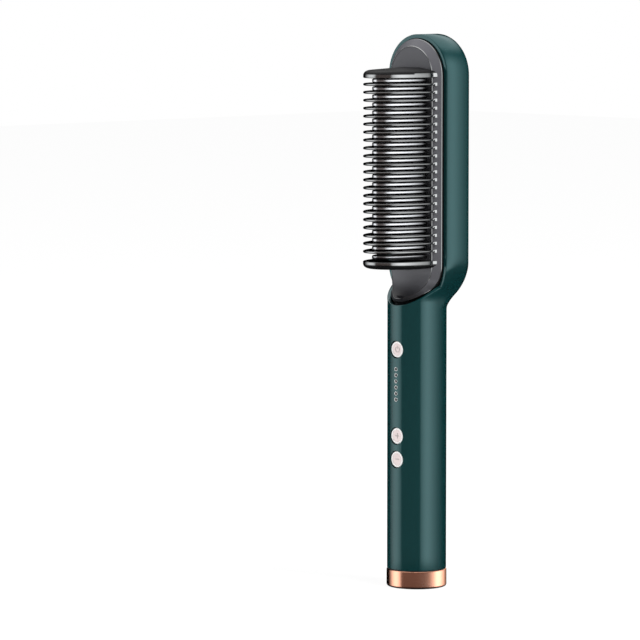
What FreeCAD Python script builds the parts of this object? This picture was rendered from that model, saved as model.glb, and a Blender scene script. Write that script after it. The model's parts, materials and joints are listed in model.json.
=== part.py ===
import FreeCAD, Part
import math
import os

# A heated styling brush, standing upright on its end cap.
# Millimetres. Z runs up the handle's axis, the comb faces -Y, and the origin is the cord bore's mouth.

Vector = FreeCAD.Vector

# Handle, neck and head of the one-piece shell
HANDLE_RADIUS = 15.0
SHELL_WALL = 2.0
HANDLE_LENGTH = 131.6
NECK_LENGTH = 24.0
HEAD_STRAIGHT = 94.4
HEAD_HALF_WIDTH = 20.6
HEAD_DEPTH = 19.0
HEAD_BACK_ROUND = 5.0
# How far above the handle's end the front is cut away, and how wide that cut flares
OPENING_RISE = 2.9
OPENING_FLARE = 0.4
# Shortest straight run kept in the shell's round sections
LEAST_FLAT = 0.05
# Stations up the neck: height, widening, deepening and corner tightening, each as a share
NECK_SHARES = (
    (0.00, 0.00, 0.00, 0.00),
    (0.08, 0.00, 0.04, 0.04),
    (0.21, 0.01, 0.28, 0.30),
    (0.42, 0.23, 0.68, 0.82),
    (0.63, 0.71, 0.87, 0.90),
    (0.83, 0.96, 0.97, 0.95),
    (0.94, 1.00, 1.00, 0.99),
    (1.00, 1.00, 1.00, 1.00),
)

# End cap, reveal and cord swivel
CAP_HEIGHT = 9.0
CAP_PROUD = 0.25
CAP_FLOOR = 2.2
CAP_ROUND = 1.2
SEAM_GAP = 0.4
SEAM_DEPTH = 0.6
SPIGOT_LENGTH = 8.0
SPIGOT_WALL = 1.3
SWIVEL_FLANGE = 1.2
SWIVEL_FLANGE_HEIGHT = 1.4
SWIVEL_STEM_RADIUS = 4.2
SWIVEL_LENGTH = 14.0
CORD_BORE_RADIUS = 3.0
RETAINER_THICKNESS = 1.5
RETAINER_SCREW_SPACE = 0.25
BOSS_SPACE = 0.3
SLIP_RING_WIDTH = 1.5
SLIP_RING_PROUD = 0.6
SLIP_RING_PITCH = 3.2
LEAF_WIDTH = 1.2
LEAF_THICKNESS = 0.4
BRUSH_BLOCK_MARGIN = 0.7
BRUSH_BLOCK_DEPTH = 2.2

# Front panel of the comb head
RIM_REVEAL = 0.7
PANEL_RING = 1.0
PANEL_WALL = 1.8
PLATEAU_INSET = 5.95
PLATEAU_HEIGHT = 4.3
LIP_DROP = 0.8
COLLAR_WIDTH = 2.0
COLLAR_LENGTH = 7.5
# Start of the scoop, as a share of the neck
SCOOP_DROP_SHARE = 0.167
SCOOP_MARGIN = 0.1
SKIRT_DEPTH = 5.0
SKIRT_WALL = 1.4
SNAP_LENGTH = 7.0
SNAP_HEIGHT = 1.6
SNAP_PROUD = 0.9
# Places of the snaps along the head's straight stretch
SNAP_SHARES = (0.12, 0.5, 0.88)

# Guard fins and heated fins
FIN_PITCH = 3.991
FIRST_FIN_RISE = 6.5
TOP_FIN_ROOM = 2.1
GUARD_THICKNESS = 1.5
GUARD_HEIGHT = 33.3
GUARD_FOOT_INSET = 3.2
GUARD_EDGE_ROUND = 0.6
GUARD_SINK = 3.0
END_FIN_BASE = 5.1
END_FIN_TIP = 2.5
END_FIN_GAP = 3.0
HEATER_THICKNESS = 1.8
HEATER_RECESS = 3.3
HEATER_FOOT_INSET = 0.5
HEATER_EDGE_ROUND = 0.5
SLOT_CLEARANCE = 0.15

# Heater behind the panel
BASE_GAP = 1.2
BASE_THICKNESS = 3.4
BASE_EAR_LENGTH = 6.5
BASE_EAR_THICKNESS = 1.7
BASE_EAR_INSET = 1.8
HEATER_SCREW_INSET = 2.6
BOSS_RADIUS = 2.4
FILM_INSET = 4.4
FILM_THICKNESS = 0.3
ELEMENT_INSET = 1.4
ELEMENT_END_GAP = 6.1
ELEMENT_THICKNESS = 2.0
CLAMP_THICKNESS = 0.6
CLAMP_FOOT_LENGTH = 4.0
CLAMP_FOOT_HALF_WIDTH = 1.9
SHIELD_WALL = 1.2
SHIELD_POST_RADIUS = 2.0
# Places of the shield's posts along the head's straight stretch
SHIELD_POST_SHARES = (0.28, 0.72)
THERMISTOR_RADIUS = 0.8
THERMISTOR_LENGTH = 4.0
CUTOUT_RADIUS = 1.6
CUTOUT_LENGTH = 10.0

# Screws
SCREW_RADIUS = 1.0
SCREW_HEAD_RADIUS = 1.9
SCREW_HEAD_HEIGHT = 1.2
SCREW_GRIP = 2.6

# Push buttons, indicators and control board
BUTTON_RADIUS = 4.15
BUTTON_SINK = 0.8
BUTTON_EDGE_ROUND = 0.45
BUTTON_DISH_DEPTH = 0.2
BUTTON_RIM_WIDTH = 0.95
BUTTON_FLANGE = 0.7
BUTTON_FLANGE_HEIGHT = 0.7
BUTTON_TRAVEL = 0.5
POWER_BUTTON_DROP = 19.5
UP_BUTTON_DROP = 63.4
DOWN_BUTTON_DROP = 75.3
INDICATOR_COUNT = 6
INDICATOR_PITCH = 3.1
INDICATOR_RADIUS = 0.75
INDICATOR_SINK = 0.8
INDICATOR_DROP = 9.9
LIGHT_BAR_HALF_WIDTH = 1.6
LIGHT_BAR_THICKNESS = 1.5
LIGHT_BAR_END = 1.6
LED_WIDTH = 1.6
LED_HEIGHT = 0.8
SWITCH_HALF_WIDTH = 3.0
SWITCH_HEIGHT = 2.8
PLUNGER_RADIUS = 1.7
PLUNGER_SINK = 1.2
BOARD_THICKNESS = 1.6
BOARD_LENGTH = 84.0
BOARD_DROP = 9.6
BOARD_SCREW_INSET = 3.1
CARRIER_WALL = 1.4
CARRIER_END = 3.15
CARRIER_WEB = 4.0
CARRIER_SCREW_WALL = 2.0
CHIP_SIZE = (5.0, 1.6, 6.4)
TRIAC_SIZE = (9.0, 4.4, 14.0)
CAPACITOR_SIZE = (13.0, 7.0, 11.0)
CONNECTOR_SIZE = (12.0, 5.0, 6.0)
FUSE_RADIUS = 1.7
FUSE_LENGTH = 9.0
# Heights of the board's parts, as shares of its length
CONNECTOR_SHARE = 0.82
TRIAC_SHARE = 0.6
CHIP_SHARE = 0.44
FUSE_SHARE = 0.32
CAPACITOR_SHARE = 0.16
LEAD_RADIUS = 0.9
LEAD_GAP = 0.5
LEAD_BEND = 6.0
# Bends of the mains leads, as shares of their rise
LEAD_BEND_SHARES = (0.3, 0.7)

# Fits
SLIDE_CLEARANCE = 0.2
RUNNING_CLEARANCE = 0.06
SEAT_CLEARANCE = 0.15
OVERRUN = 1.0

# Levels of the shell and the end cap's spigot
SHELL_BOTTOM = CAP_HEIGHT + SEAM_GAP
NECK_BOTTOM = SHELL_BOTTOM + HANDLE_LENGTH
NECK_TOP = NECK_BOTTOM + NECK_LENGTH
HEAD_ARC = NECK_TOP + HEAD_STRAIGHT
OPENING_LOW = NECK_BOTTOM + OPENING_RISE
BORE_RADIUS = HANDLE_RADIUS - SHELL_WALL
SPIGOT_RADIUS = BORE_RADIUS - SEAT_CLEARANCE
SPIGOT_TOP = SHELL_BOTTOM + SPIGOT_LENGTH

# Panel, skirt and fins
PANEL_HALF_WIDTH = HEAD_HALF_WIDTH - RIM_REVEAL
PANEL_LOW = OPENING_LOW + RIM_REVEAL
PLATEAU_HALF_WIDTH = HEAD_HALF_WIDTH - PLATEAU_INSET
PLATEAU_LOW = PANEL_LOW + COLLAR_WIDTH
SCOOP_TOP = NECK_TOP - SCOOP_DROP_SHARE * NECK_LENGTH
SCOOP_RADIUS = SCOOP_TOP - PLATEAU_LOW + SCOOP_MARGIN
LIP_RADIUS = HANDLE_RADIUS - LIP_DROP
PLATEAU_INNER = PLATEAU_HEIGHT - PANEL_WALL
CAVITY_HALF_WIDTH = HEAD_HALF_WIDTH - SHELL_WALL
SKIRT_HALF_WIDTH = CAVITY_HALF_WIDTH - SLIDE_CLEARANCE
FIRST_FIN = NECK_TOP + FIRST_FIN_RISE
FIN_COUNT = 1 + int((HEAD_STRAIGHT - FIRST_FIN_RISE - TOP_FIN_ROOM) / FIN_PITCH)
LAST_FIN = FIRST_FIN + (FIN_COUNT - 1) * FIN_PITCH
FIN_SPACE = FIN_PITCH - GUARD_THICKNESS
LOW_END_FIN = FIRST_FIN - GUARD_THICKNESS / 2 - FIN_SPACE - END_FIN_GAP / 2
TOP_END_FIN = LAST_FIN + GUARD_THICKNESS / 2 + FIN_SPACE
GUARD_FOOT_HALF_WIDTH = HEAD_HALF_WIDTH - GUARD_FOOT_INSET

# Heater and shield behind the panel
SHIELD_POST_SIDE = SKIRT_HALF_WIDTH - SKIRT_WALL - SHIELD_POST_RADIUS
BASE_HALF_WIDTH = SHIELD_POST_SIDE - SHIELD_POST_RADIUS - BASE_GAP
BASE_EAR_HALF_WIDTH = BASE_HALF_WIDTH - BASE_EAR_INSET
HEATER_SCREW_HALF_SPACING = BASE_EAR_HALF_WIDTH - HEATER_SCREW_INSET
HEATER_HEIGHT = GUARD_HEIGHT - HEATER_RECESS
HEATER_FOOT_HALF_WIDTH = BASE_HALF_WIDTH - HEATER_FOOT_INSET
FILM_HALF_WIDTH = BASE_HALF_WIDTH - FILM_INSET
ELEMENT_HALF_WIDTH = FILM_HALF_WIDTH - ELEMENT_INSET
BASE_LOW = LOW_END_FIN - GUARD_THICKNESS / 2
BASE_TOP = TOP_END_FIN + GUARD_THICKNESS / 2
BASE_FRONT = PLATEAU_INNER - SLIDE_CLEARANCE
BASE_BACK = BASE_FRONT - BASE_THICKNESS
EAR_FRONT = BASE_BACK + BASE_EAR_THICKNESS
LOW_EAR_SCREW = BASE_LOW - BASE_EAR_LENGTH / 2
TOP_EAR_SCREW = BASE_TOP + BASE_EAR_LENGTH / 2
HEATER_MIDDLE = (BASE_LOW + BASE_TOP) / 2
ELEMENT_BACK = BASE_BACK - FILM_THICKNESS - ELEMENT_THICKNESS
ELEMENT_LOW = BASE_LOW + ELEMENT_END_GAP
ELEMENT_TOP = BASE_TOP - ELEMENT_END_GAP
CLAMP_BACK = ELEMENT_BACK - CLAMP_THICKNESS
CLAMP_LOW = ELEMENT_LOW - SLIDE_CLEARANCE - CLAMP_FOOT_LENGTH
CLAMP_TOP = ELEMENT_TOP + SLIDE_CLEARANCE + CLAMP_FOOT_LENGTH
SHIELD_FRONT = -SKIRT_DEPTH - SHIELD_WALL
SHIELD_BACK = SHIELD_FRONT - SHIELD_WALL

# Buttons, board, carrier and leads
POWER_LEVEL = NECK_BOTTOM - POWER_BUTTON_DROP
UP_LEVEL = NECK_BOTTOM - UP_BUTTON_DROP
DOWN_LEVEL = NECK_BOTTOM - DOWN_BUTTON_DROP
BUTTON_LEVELS = {"power": POWER_LEVEL, "temp_up": UP_LEVEL, "temp_down": DOWN_LEVEL}
INDICATOR_LEVELS = [POWER_LEVEL - INDICATOR_DROP - i * INDICATOR_PITCH for i in range(INDICATOR_COUNT)]
FLANGE_RADIUS = BUTTON_RADIUS + BUTTON_FLANGE
FLANGE_FRONT = math.sqrt(BORE_RADIUS ** 2 - FLANGE_RADIUS ** 2) - SLIDE_CLEARANCE
FLANGE_BACK = FLANGE_FRONT - BUTTON_FLANGE_HEIGHT
BUTTON_FRONT = HANDLE_RADIUS - BUTTON_SINK
INDICATOR_FRONT = HANDLE_RADIUS - INDICATOR_SINK
SWITCH_FRONT = FLANGE_BACK - BUTTON_TRAVEL - SLIDE_CLEARANCE
BOARD_FRONT = SWITCH_FRONT - SWITCH_HEIGHT
BOARD_BACK = BOARD_FRONT - BOARD_THICKNESS
BOARD_TOP = NECK_BOTTOM - BOARD_DROP
BOARD_LOW = BOARD_TOP - BOARD_LENGTH
BOARD_HALF_WIDTH = math.sqrt(BORE_RADIUS ** 2 - BOARD_FRONT ** 2) - SLIDE_CLEARANCE
BOARD_SCREW_HALF_SPACING = BOARD_HALF_WIDTH - BOARD_SCREW_INSET
CARRIER_RADIUS = BORE_RADIUS - SEAT_CLEARANCE
CARRIER_LOW = SPIGOT_TOP + SEAT_CLEARANCE
CARRIER_TOP = BOARD_TOP + CARRIER_END
CARRIER_WINDOW_HALF_WIDTH = BOARD_SCREW_HALF_SPACING - CARRIER_SCREW_WALL
LEAD_HALF_SPACING = CARRIER_WINDOW_HALF_WIDTH - LEAD_RADIUS - LEAD_GAP
LEAD_DEPTH = ELEMENT_BACK + ELEMENT_THICKNESS / 2

# Cord swivel, its retainer and contacts
RETAINER_SCREW_SIDE = SPIGOT_RADIUS - SPIGOT_WALL - SCREW_HEAD_RADIUS - RETAINER_SCREW_SPACE
SWIVEL_RADIUS = RETAINER_SCREW_SIDE - SCREW_HEAD_RADIUS - SWIVEL_FLANGE - BOSS_SPACE
RETAINER_LOW = CAP_FLOOR + SWIVEL_FLANGE_HEIGHT + 2 * SLIDE_CLEARANCE
RETAINER_TOP = RETAINER_LOW + RETAINER_THICKNESS
SLIP_RING_RADIUS = SWIVEL_STEM_RADIUS + SLIP_RING_PROUD
SLIP_RING_LOW = RETAINER_TOP + SLIP_RING_WIDTH
BRUSH_BLOCK_FRONT = SLIP_RING_RADIUS + SLIDE_CLEARANCE + LEAF_THICKNESS
BRUSH_BLOCK_HALF_WIDTH = LEAD_HALF_SPACING + BRUSH_BLOCK_MARGIN
BRUSH_BLOCK_TOP = SLIP_RING_LOW + SLIP_RING_PITCH + 2 * SLIP_RING_WIDTH


def slab(half_width, back, front, low, high, x=0):
    """Box across X between two distances in front of the axis and two levels."""
    corner = Vector(x - half_width, -front, low)
    return Part.makeBox(2 * half_width, front - back, high - low, corner)


def peg(radius, x, level, back, front):
    """Round bar along Y between two distances in front of the axis."""
    return Part.makeCylinder(radius, front - back, Vector(x, -front, level), Vector(0, 1, 0))


def post(radius, low, high, x=0, y=0):
    """Round bar along Z."""
    return Part.makeCylinder(radius, high - low, Vector(x, y, low), Vector(0, 0, 1))


def fused(shapes):
    """One solid from several that overlap or touch."""
    whole = shapes[0].fuse(shapes[1:])
    return whole.removeSplitter()


def screw(x, level, seat, head_side):
    """Screw along Y: head on one side of the seat, shank on the other."""
    head_end = seat + head_side * SCREW_HEAD_HEIGHT
    tip = seat - head_side * SCREW_GRIP
    head = peg(SCREW_HEAD_RADIUS, x, level, min(seat, head_end), max(seat, head_end))
    shank = peg(SCREW_RADIUS, x, level, min(seat, tip), max(seat, tip))
    return fused([head, shank])


def screw_hole(x, level, seat, head_side):
    """Hole for the shank of such a screw, a little deeper than its tip."""
    tip = seat - head_side * (SCREW_GRIP + SLIDE_CLEARANCE)
    mouth = seat + head_side * SLIDE_CLEARANCE
    return peg(SCREW_RADIUS + RUNNING_CLEARANCE, x, level, min(mouth, tip), max(mouth, tip))


def half_ellipse(center, across, along):
    """Edge from center + across, round through center + along, to center - across."""
    if across.Length >= along.Length:
        ellipse = Part.Ellipse(center + across, center + along, center)
        return Part.ArcOfEllipse(ellipse, 0, math.pi).toShape()
    ellipse = Part.Ellipse(center + along, center - across, center)
    return Part.ArcOfEllipse(ellipse, -math.pi / 2, math.pi / 2).toShape()


def back_edges(level, half_width, depth, rounding, front):
    """Sides, back corners and back of a shell section, from the right front round to the left."""
    side = depth - rounding
    flat = half_width - rounding
    middle = rounding * math.sqrt(0.5)
    right_front = Vector(half_width, -front, level)
    right = Vector(half_width, side, level)
    right_back = Vector(flat, depth, level)
    left_back = Vector(-flat, depth, level)
    left = Vector(-half_width, side, level)
    left_front = Vector(-half_width, -front, level)
    right_mid = Vector(flat + middle, side + middle, level)
    left_mid = Vector(-flat - middle, side + middle, level)
    return [
        Part.LineSegment(right_front, right).toShape(),
        Part.Arc(right, right_mid, right_back).toShape(),
        Part.LineSegment(right_back, left_back).toShape(),
        Part.Arc(left_back, left_mid, left).toShape(),
        Part.LineSegment(left, left_front).toShape(),
    ]


def neck_section(shares, inset):
    """Closed section of the shell at one station of the neck, moved inward by the inset."""
    rise, widening, deepening, tightening = shares
    level = NECK_BOTTOM + rise * NECK_LENGTH
    half_width = HANDLE_RADIUS + widening * (HEAD_HALF_WIDTH - HANDLE_RADIUS)
    depth = HANDLE_RADIUS + deepening * (HEAD_DEPTH - HANDLE_RADIUS)
    round_start = HANDLE_RADIUS - LEAST_FLAT
    rounding = round_start + tightening * (HEAD_BACK_ROUND - round_start)
    edges = back_edges(level, half_width - inset, depth - inset, rounding - inset, 0)
    across = Vector(inset - half_width, 0, 0)
    along = Vector(0, inset - HANDLE_RADIUS, 0)
    edges.append(half_ellipse(Vector(0, 0, level), across, along))
    return Part.Wire(edges)


def shell_form(inset, front):
    """Handle, neck and head as one solid, moved inward by the inset."""
    sections = [neck_section(shares, inset) for shares in NECK_SHARES]
    handle = Part.Face(sections[0]).extrude(Vector(0, 0, SHELL_BOTTOM - NECK_BOTTOM - inset))
    neck = Part.makeLoft(sections, True, False)
    half_width = HEAD_HALF_WIDTH - inset
    depth = HEAD_DEPTH - inset
    edges = back_edges(NECK_TOP, half_width, depth, HEAD_BACK_ROUND - inset, front)
    ends = (Vector(-half_width, -front, NECK_TOP), Vector(half_width, -front, NECK_TOP))
    edges.append(Part.LineSegment(*ends).toShape())
    head = Part.Face(Part.Wire(edges)).extrude(Vector(0, 0, HEAD_STRAIGHT))
    right_half = Part.makeBox(half_width, front + depth, HEAD_STRAIGHT, Vector(0, -front, NECK_TOP))
    top_face = Part.Face(Part.Wire(edges)).common(right_half)
    top_face.translate(Vector(0, 0, HEAD_STRAIGHT))
    dome = top_face.revolve(Vector(0, 0, HEAD_ARC), Vector(0, -1, 0), 180)
    return fused([handle, neck, head, Part.Solid(dome.Solids[0])])


def front_outline(half_width, low, distance, top=HEAD_ARC):
    """Outline of the comb head seen from the front: round top, straight sides, elliptic lower end."""
    lower = Vector(0, -distance, NECK_TOP)
    upper = Vector(0, -distance, top)
    side = Vector(half_width, 0, 0)
    rise = Vector(0, 0, half_width)
    return Part.Wire([
        half_ellipse(lower, side, Vector(0, 0, low - NECK_TOP)),
        Part.LineSegment(lower - side, upper - side).toShape(),
        Part.Arc(upper - side, upper + rise, upper + side).toShape(),
        Part.LineSegment(upper + side, lower + side).toShape(),
    ])


def front_prism(half_width, low, back, front, top=HEAD_ARC):
    """Solid of that outline between two distances in front of the axis."""
    face = Part.Face(front_outline(half_width, low, back, top))
    return face.extrude(Vector(0, back - front, 0))


def snap_levels():
    """Levels of the snaps that hold the panel."""
    return [NECK_TOP + share * HEAD_STRAIGHT for share in SNAP_SHARES]


def snap_blocks(grow):
    """Snap noses on both sides of the skirt, or their pockets when grown by a clearance."""
    reach = SKIRT_HALF_WIDTH + SNAP_PROUD + grow
    deep = SKIRT_DEPTH + grow
    shallow = SKIRT_DEPTH - SNAP_HEIGHT - grow
    length = SNAP_LENGTH / 2 + grow
    return [slab(reach, -deep, -shallow, level - length, level + length) for level in snap_levels()]


def body_shell():
    """One-piece shell: hollow handle, neck and head, open at the front of the head."""
    outer = shell_form(0, 0)
    opening = front_prism(HEAD_HALF_WIDTH + OPENING_FLARE, OPENING_LOW, 0,
                          HANDLE_RADIUS + OVERRUN)
    shell = outer.cut(opening).removeSplitter()
    shell = shell.cut(shell_form(SHELL_WALL, OVERRUN))
    holes = [peg(BUTTON_RADIUS + SLIDE_CLEARANCE, 0, level, 0, HANDLE_RADIUS + OVERRUN)
             for level in BUTTON_LEVELS.values()]
    holes += [peg(INDICATOR_RADIUS + RUNNING_CLEARANCE, 0, level, 0, HANDLE_RADIUS + OVERRUN)
              for level in INDICATOR_LEVELS]
    return shell.cut(holes + snap_blocks(SLIDE_CLEARANCE))


def end_cap():
    """Rose-gold cup with a spigot that plugs into the handle and a hole for the cord bush."""
    radius = HANDLE_RADIUS + CAP_PROUD
    cup = post(radius, 0, CAP_HEIGHT)
    cup = cup.makeFillet(CAP_ROUND, [edge for edge in cup.Edges if edge.BoundBox.ZMax < CAP_ROUND])
    reveal = post(HANDLE_RADIUS - SEAM_DEPTH, CAP_HEIGHT, SHELL_BOTTOM)
    spigot = post(SPIGOT_RADIUS, SHELL_BOTTOM, SPIGOT_TOP)
    inside = post(SPIGOT_RADIUS - SPIGOT_WALL, CAP_FLOOR, SPIGOT_TOP + OVERRUN)
    bush_hole = post(SWIVEL_RADIUS + RUNNING_CLEARANCE, -OVERRUN, CAP_FLOOR + OVERRUN)
    cap = fused([cup, reveal, spigot]).cut([inside, bush_hole])
    bosses = [post(SCREW_HEAD_RADIUS, CAP_FLOOR, RETAINER_LOW, x) for x in retainer_screw_places()]
    cap = fused([cap] + bosses)
    return cap.cut([post(SCREW_RADIUS + RUNNING_CLEARANCE, RETAINER_TOP - SCREW_GRIP - RETAINER_THICKNESS,
                         RETAINER_LOW + OVERRUN, x) for x in retainer_screw_places()])


def retainer_screw_places():
    """Positions across X of the two retainer screws."""
    return (-RETAINER_SCREW_SIDE, RETAINER_SCREW_SIDE)


def cord_swivel():
    """Bush that the cord passes through: it turns in the end cap and carries the slip rings."""
    body = post(SWIVEL_RADIUS, 0, CAP_FLOOR + SLIDE_CLEARANCE)
    flange_low = CAP_FLOOR + SLIDE_CLEARANCE
    flange = post(SWIVEL_RADIUS + SWIVEL_FLANGE, flange_low, flange_low + SWIVEL_FLANGE_HEIGHT)
    stem = post(SWIVEL_STEM_RADIUS, flange_low, SWIVEL_LENGTH)
    bore = post(CORD_BORE_RADIUS, -OVERRUN, SWIVEL_LENGTH + OVERRUN)
    return fused([body, flange, stem]).cut(bore)


def swivel_retainer():
    """Ring screwed into the end cap over the bush's flange."""
    ring = post(SPIGOT_RADIUS - SPIGOT_WALL - SLIDE_CLEARANCE, RETAINER_LOW, RETAINER_TOP)
    holes = [post(SCREW_RADIUS + RUNNING_CLEARANCE, RETAINER_LOW - OVERRUN, RETAINER_TOP + OVERRUN, x)
             for x in retainer_screw_places()]
    return ring.cut(holes + [post(SWIVEL_STEM_RADIUS + SLIDE_CLEARANCE, RETAINER_LOW - OVERRUN,
                                  RETAINER_TOP + OVERRUN)])


def retainer_screws():
    """The retainer's two screws."""
    screws = []
    for x in retainer_screw_places():
        head = post(SCREW_HEAD_RADIUS, RETAINER_TOP, RETAINER_TOP + SCREW_HEAD_HEIGHT, x)
        shank = post(SCREW_RADIUS, RETAINER_TOP - SCREW_GRIP, RETAINER_TOP, x)
        screws.append(fused([head, shank]))
    return Part.makeCompound(screws)


def slip_ring_levels():
    """Lower levels of the two slip rings."""
    return (SLIP_RING_LOW, SLIP_RING_LOW + SLIP_RING_PITCH)


def slip_rings():
    """Two brass rings round the bush's stem."""
    rings = []
    for low in slip_ring_levels():
        ring = post(SLIP_RING_RADIUS, low, low + SLIP_RING_WIDTH)
        rings.append(ring.cut(post(SWIVEL_STEM_RADIUS, low - OVERRUN, low + SLIP_RING_WIDTH + OVERRUN)))
    return Part.makeCompound(rings)


def brush_block():
    """Insulating block behind the rings, standing on the retainer."""
    return slab(BRUSH_BLOCK_HALF_WIDTH, -BRUSH_BLOCK_FRONT - BRUSH_BLOCK_DEPTH, -BRUSH_BLOCK_FRONT,
                RETAINER_TOP, BRUSH_BLOCK_TOP)


def contact_leaves():
    """Two contact leaves on the block, each close against one ring, with a tail for its lead."""
    leaves = []
    for side, low in zip((-1, 1), slip_ring_levels()):
        level = low + (SLIP_RING_WIDTH - LEAF_WIDTH) / 2
        strip = slab(LEAD_HALF_SPACING / 2, -BRUSH_BLOCK_FRONT, LEAF_THICKNESS - BRUSH_BLOCK_FRONT,
                     level, level + LEAF_WIDTH, side * LEAD_HALF_SPACING / 2)
        tail = slab(LEAF_WIDTH / 2, -BRUSH_BLOCK_FRONT, LEAF_THICKNESS - BRUSH_BLOCK_FRONT,
                    level, BRUSH_BLOCK_TOP, side * (LEAD_HALF_SPACING - LEAF_WIDTH / 2))
        leaves.append(fused([strip, tail]))
    return Part.makeCompound(leaves)


def fin_outline(root, crest, foot_half, foot_level, crest_level):
    """Half-oval outline of a fin, whose crest may stand at another level than its foot."""
    middle = Vector(0, -root, foot_level)
    across = Vector(foot_half, 0, 0)
    arch = half_ellipse(middle, across, Vector(0, root - crest, crest_level - foot_level))
    foot = Part.LineSegment(middle - across, middle + across).toShape()
    return Part.Wire([arch, foot])


def fin_plate(root, crest, foot_half, thickness):
    """Fin of even thickness, centred on level zero."""
    low = -thickness / 2
    outline = fin_outline(root, crest, foot_half, low, low)
    return Part.Face(outline).extrude(Vector(0, 0, thickness))


def rounded_fin(plate, root, rounding):
    """The fin with every edge that stands clear of its root rounded."""
    edges = [edge for edge in plate.Edges
             if edge.BoundBox.ZLength < rounding and edge.BoundBox.YMin < -root - rounding]
    return plate.makeFillet(rounding, edges)


def guard_fin():
    """One regular guard fin at level zero."""
    root = PLATEAU_HEIGHT - GUARD_SINK
    plate = fin_plate(root, GUARD_HEIGHT, GUARD_FOOT_HALF_WIDTH, GUARD_THICKNESS)
    return rounded_fin(plate, root, GUARD_EDGE_ROUND)


def end_fin(up):
    """Thicker guard fin that closes the row: flat inside, sloping outside."""
    root = PLATEAU_HEIGHT - GUARD_SINK
    inside = fin_outline(root, GUARD_HEIGHT, GUARD_FOOT_HALF_WIDTH, 0, 0)
    outside = fin_outline(root, GUARD_HEIGHT, GUARD_FOOT_HALF_WIDTH, up * END_FIN_BASE, up * END_FIN_TIP)
    fin = Part.makeLoft([inside, outside], True, True)
    rounded = [edge for edge in fin.Edges if edge.BoundBox.YMin < -root - GUARD_EDGE_ROUND]
    return fin.makeFillet(GUARD_EDGE_ROUND, rounded)


def guard_levels():
    """Levels of the regular guard fins."""
    return [FIRST_FIN + i * FIN_PITCH for i in range(FIN_COUNT)]


def heater_levels():
    """Levels of the heated fins: one in every space between guard fins."""
    between = [level + FIN_PITCH / 2 for level in guard_levels()]
    lowest_space = FIRST_FIN - GUARD_THICKNESS / 2 - LOW_END_FIN
    return [LOW_END_FIN + lowest_space / 2] + between


def moved(shape, level):
    """Copy of a shape raised to a level."""
    copy = shape.copy()
    copy.translate(Vector(0, 0, level))
    return copy


def side_profile(points, arc_middle=None):
    """Solid across the neck from a profile of (distance in front, level) points, its first run bent if asked."""
    left = -HEAD_HALF_WIDTH
    corners = [Vector(left, -front, level) for front, level in points]
    edges = [Part.LineSegment(a, b).toShape() for a, b in zip(corners, corners[1:] + corners[:1])]
    if arc_middle:
        front, level = arc_middle
        edges[0] = Part.Arc(corners[0], Vector(left, -front, level), corners[1]).toShape()
    return Part.Face(Part.Wire(edges)).extrude(Vector(2 * HEAD_HALF_WIDTH, 0, 0))


def scoop_front(level):
    """How far in front of the axis the scoop's face stands at a level."""
    return PLATEAU_HEIGHT + SCOOP_RADIUS - math.sqrt(SCOOP_RADIUS ** 2 - (SCOOP_TOP - level) ** 2)


def scoop():
    """Lower end of the plateau, curving forward to the handle's front."""
    middle = (PLATEAU_LOW + SCOOP_TOP) / 2
    ramp = side_profile([(PLATEAU_HEIGHT, SCOOP_TOP), (scoop_front(PLATEAU_LOW), PLATEAU_LOW),
                         (0, PLATEAU_LOW), (0, SCOOP_TOP)], (scoop_front(middle), middle))
    ramp = ramp.common(front_prism(PLATEAU_HALF_WIDTH, PLATEAU_LOW, 0, HANDLE_RADIUS))
    return ramp.common(post(LIP_RADIUS, NECK_BOTTOM, NECK_TOP))


def collar():
    """Lip round the scoop, rising with the edge of the shell's opening."""
    wedge = side_profile([(PANEL_RING, PANEL_LOW + COLLAR_LENGTH), (LIP_RADIUS, PANEL_LOW),
                          (0, PANEL_LOW), (0, PANEL_LOW + COLLAR_LENGTH)])
    wedge = wedge.common(front_prism(PANEL_HALF_WIDTH, PANEL_LOW, 0, HANDLE_RADIUS))
    return wedge.common(post(LIP_RADIUS, NECK_BOTTOM, NECK_TOP))


def panel_body():
    """Panel of the comb head: flat ring, sloping shoulder, raised plateau and scooped lower end."""
    ring = front_prism(PANEL_HALF_WIDTH, PANEL_LOW, 0, PANEL_RING)
    shoulder = Part.makeLoft([
        front_outline(PANEL_HALF_WIDTH, PANEL_LOW, PANEL_RING),
        front_outline(PLATEAU_HALF_WIDTH, PLATEAU_LOW, PLATEAU_HEIGHT),
    ], True, True)
    return fused([ring, shoulder, scoop(), collar()])


def skirt():
    """Wall behind the panel that plugs into the shell, with its snaps and shield posts."""
    outer = front_prism(SKIRT_HALF_WIDTH, OPENING_LOW, -SKIRT_DEPTH, 0)
    inner = front_prism(SKIRT_HALF_WIDTH - SKIRT_WALL, OPENING_LOW, -SKIRT_DEPTH - OVERRUN,
                        OVERRUN)
    below = slab(HEAD_HALF_WIDTH, -SKIRT_DEPTH - OVERRUN, OVERRUN, NECK_BOTTOM - OVERRUN, NECK_TOP)
    middle = slab(SKIRT_HALF_WIDTH - SKIRT_WALL, -SKIRT_DEPTH - OVERRUN, 0, NECK_BOTTOM, HEAD_ARC)
    noses = [nose.cut(middle) for nose in snap_blocks(0)]
    posts = [peg(SHIELD_POST_RADIUS, x, level, SHIELD_FRONT, 0) for x, level in shield_screw_places()]
    return [outer.cut([inner, below])] + noses + posts


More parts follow.
